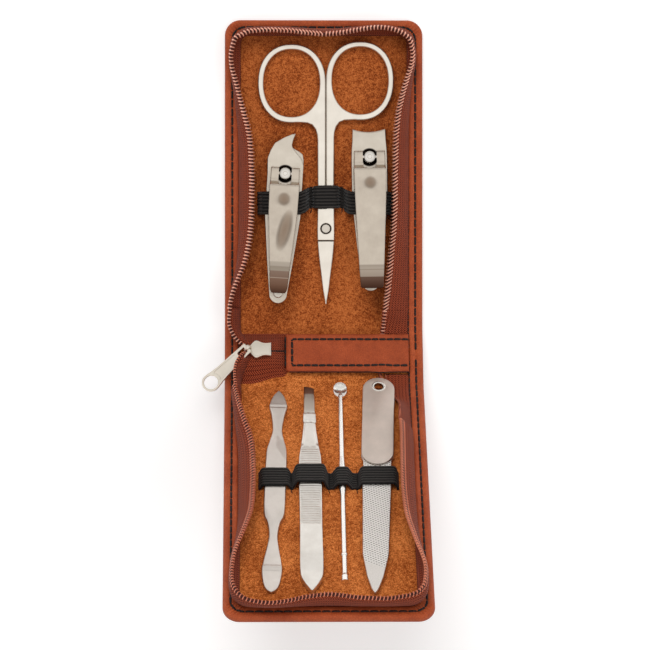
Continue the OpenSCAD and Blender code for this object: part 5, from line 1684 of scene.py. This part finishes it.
def makeFile():
    grip = dict(length=41, width=10.9, thick=2.2, hole=3.9, holeAt=4.3, wall=0.62, slit=4.85)
    placing = onLining(-18.8, -0.2, 1.45, -2.2)
    rows = [(7.5, 4.75), (52, 4.75), (81.3, 4.25), (91.1, 2.6), (96.6, 1.0), (98, 0.15)]

    def place(s, t):
        y = 7.5 + 90.5 * s
        half = along(rows, y)
        z = 1.55 - edgeDrop(min((1 - abs(t)) * half, 98.1 - y), 0.2)
        return half * t, y, z

    def depth(s, t):
        return 0.72

    blade = bentPlate("file_blade", fineEnds(90, 0.01), acrossWays(15, 0.06), place, depth, "file")
    radius, wall, slit = grip["width"] / 2, grip["wall"], grip["slit"]
    plan = arc(0, grip["length"] - radius, radius, 0, 180, 32) + arc(0, radius, radius, 180, 360, 32)
    hole = circle(0, grip["holeAt"], grip["hole"] / 2)
    # the handle's side walls leave a slit for the blade
    walls = [(-5.35, 35.4)] + [(x * 0.985, y) for x, y in plan if y < 9]
    walls += [(5.35, 35.4), (slit, 35.4), (slit, 9), (-slit, 9), (-slit, 35.4)]
    parts = [cutPlate("file_handle", [plan, hole], grip["thick"] - wall, grip["thick"], 0.22, "handle", 4),
             cutPlate("back", [plan, hole], 0, wall, 0.22, "handle", 4),
             cutPlate("walls", [walls, hole], wall - 0.12, grip["thick"] - wall + 0.12, 0.05, "handle", 2)]
    handle = joined("file_handle", parts)
    ring = [(1.55, 0.02), (1.62, -0.1), (2.0, -0.2), (2.4, -0.14), (2.45, 0.0), (1.9, 0.04), (1.9, 2.18),
            (2.45, 2.2), (2.4, 2.36), (2.0, 2.42), (1.62, 2.34), (1.55, 2.2)]
    eyelet = openRing("file_eyelet", ring, "bright")
    inPlace(eyelet, Matrix.Translation((0, grip["holeAt"], 0)))
    for part, slot, node in ((blade, "file_steel", "file_blade"), (handle, "satin_steel", "file_handle"),
                             (eyelet, "bright_steel", "file_eyelet")):
        inPlace(part, placing)
        dress(part, "file", slot, node)


makePusher()
makeTweezerLeg(True)
makeTweezerLeg(False)
makeFile()
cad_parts["ear_pick"].data.materials[0] = finishes["pick"]
print("small tools made")


def makeStage():
    stage = dict(size=6000, key=(-120, 520, 980), keySize=620, fill=(420, -420, 760),
                 fillSize=500, keyPower=5.4, fillPower=1.4, glow=0.24, soft=0.7, tone=0.87, depth=0.2,
                 warmth=(1, 0.99, 0.975),
                 sky=[(0, 1.15), (0.1, 1.1), (0.25, 0.8), (0.5, 0.62), (0.68, 0.84), (0.8, 0.62),
                      (0.9, 0.66), (0.965, 1.0), (1, 1.06)])
    floor = Finish("paleFloor", Specular_IOR_Level=0.0, Roughness=1.0)
    floor.shader.inputs["Base Color"].default_value = (stage["tone"],) * 3 + (1,)
    # seen directly or in a mirror, the floor glows a little, as bright paper does
    direct, glossy, clear = [floor.node("ShaderNodeLightPath", output="Is " + ray + " Ray")
                             for ray in ("Camera", "Glossy", "Transmission")]
    seen = direct.math("MAXIMUM", glossy).math("MAXIMUM", clear)
    glow = floor.node("ShaderNodeEmission", {}, {"Strength": seen * stage["glow"]})
    both = floor.node("ShaderNodeAddShader", {}, {0: Wire(floor, floor.shader.outputs[0]), 1: glow})
    floor.join(floor.output.inputs[0], both)
    half, low = stage["size"] / 2, -stage["depth"]
    corners = [(-half, -half, low), (half, -half, low), (half, half, low), (-half, half, low)]
    addMesh("floor", corners, [(0, 1, 2, 3)], floor.material)
    world = bpy.data.worlds.new("softWorld")
    world.use_nodes = True
    sky = world.node_tree
    way = sky.nodes.new("ShaderNodeTexCoord")
    parts = sky.nodes.new("ShaderNodeSeparateXYZ")
    fade = sky.nodes.new("ShaderNodeValToRGB")
    # brighter overhead than at the horizon, as under a tent of paper
    for number, (at, level) in enumerate(stage["sky"]):
        if number > 1:
            fade.color_ramp.elements.new(0.5)
        fade.color_ramp.elements[number].position = at
        fade.color_ramp.elements[number].color = [level * part for part in stage["warmth"]] + [1]
    sky.links.new(way.outputs["Generated"], parts.inputs[0])
    sky.links.new(parts.outputs[2], fade.inputs[0])
    sky.links.new(fade.outputs[0], sky.nodes["Background"].inputs[0])
    # what the metal mirrors is the whole tent, and the matt pieces get a share of it
    ray = sky.nodes.new("ShaderNodeLightPath")
    level = sky.nodes.new("ShaderNodeMapRange")
    sky.links.new(ray.outputs["Is Glossy Ray"], level.inputs["Value"])
    level.inputs["To Min"].default_value = stage["soft"]
    sky.links.new(level.outputs[0], sky.nodes["Background"].inputs[1])
    bpy.context.scene.world = world

    def lamp(name, place, size, power, aim=(0, -53, 0)):
        data = bpy.data.lights.new(name, "AREA")
        data.shape = "DISK"
        data.size = size * mm
        data.energy = power
        made = bpy.data.objects.new(name, data)
        made.location = Vector(place) * mm
        way = (Vector(place) - Vector(aim)).normalized()
        made.rotation_mode = "QUATERNION"
        made.rotation_quaternion = way.to_track_quat("Z", "Y")
        made.visible_glossy = False
        putIn(made)
        return made

    lamp("keyLight", stage["key"], stage["keySize"], stage["keyPower"])
    lamp("fillLight", stage["fill"], stage["fillSize"], stage["fillPower"])


def makeCamera():
    view = dict(place=(-23.5, -53.2, 1143), aim=(0.5, -53.2, 0), lens=181)
    data = bpy.data.cameras.new("camera")
    data.lens = view["lens"]
    data.sensor_width = 36
    data.clip_start = 0.05
    data.clip_end = 20
    camera = bpy.data.objects.new("camera", data)
    back = (Vector(view["place"]) - Vector(view["aim"])).normalized()
    right = Vector((0, 1, 0)).cross(back).normalized()
    up = back.cross(right)
    facing = Matrix((right, up, back)).transposed().to_4x4()
    camera.matrix_world = Matrix.Translation(Vector(view["place"]) * mm) @ facing
    putIn(camera)
    bpy.context.scene.camera = camera


makeStage()
makeCamera()
bpy.context.scene.view_settings.view_transform = "Standard"
print("stage and camera made")
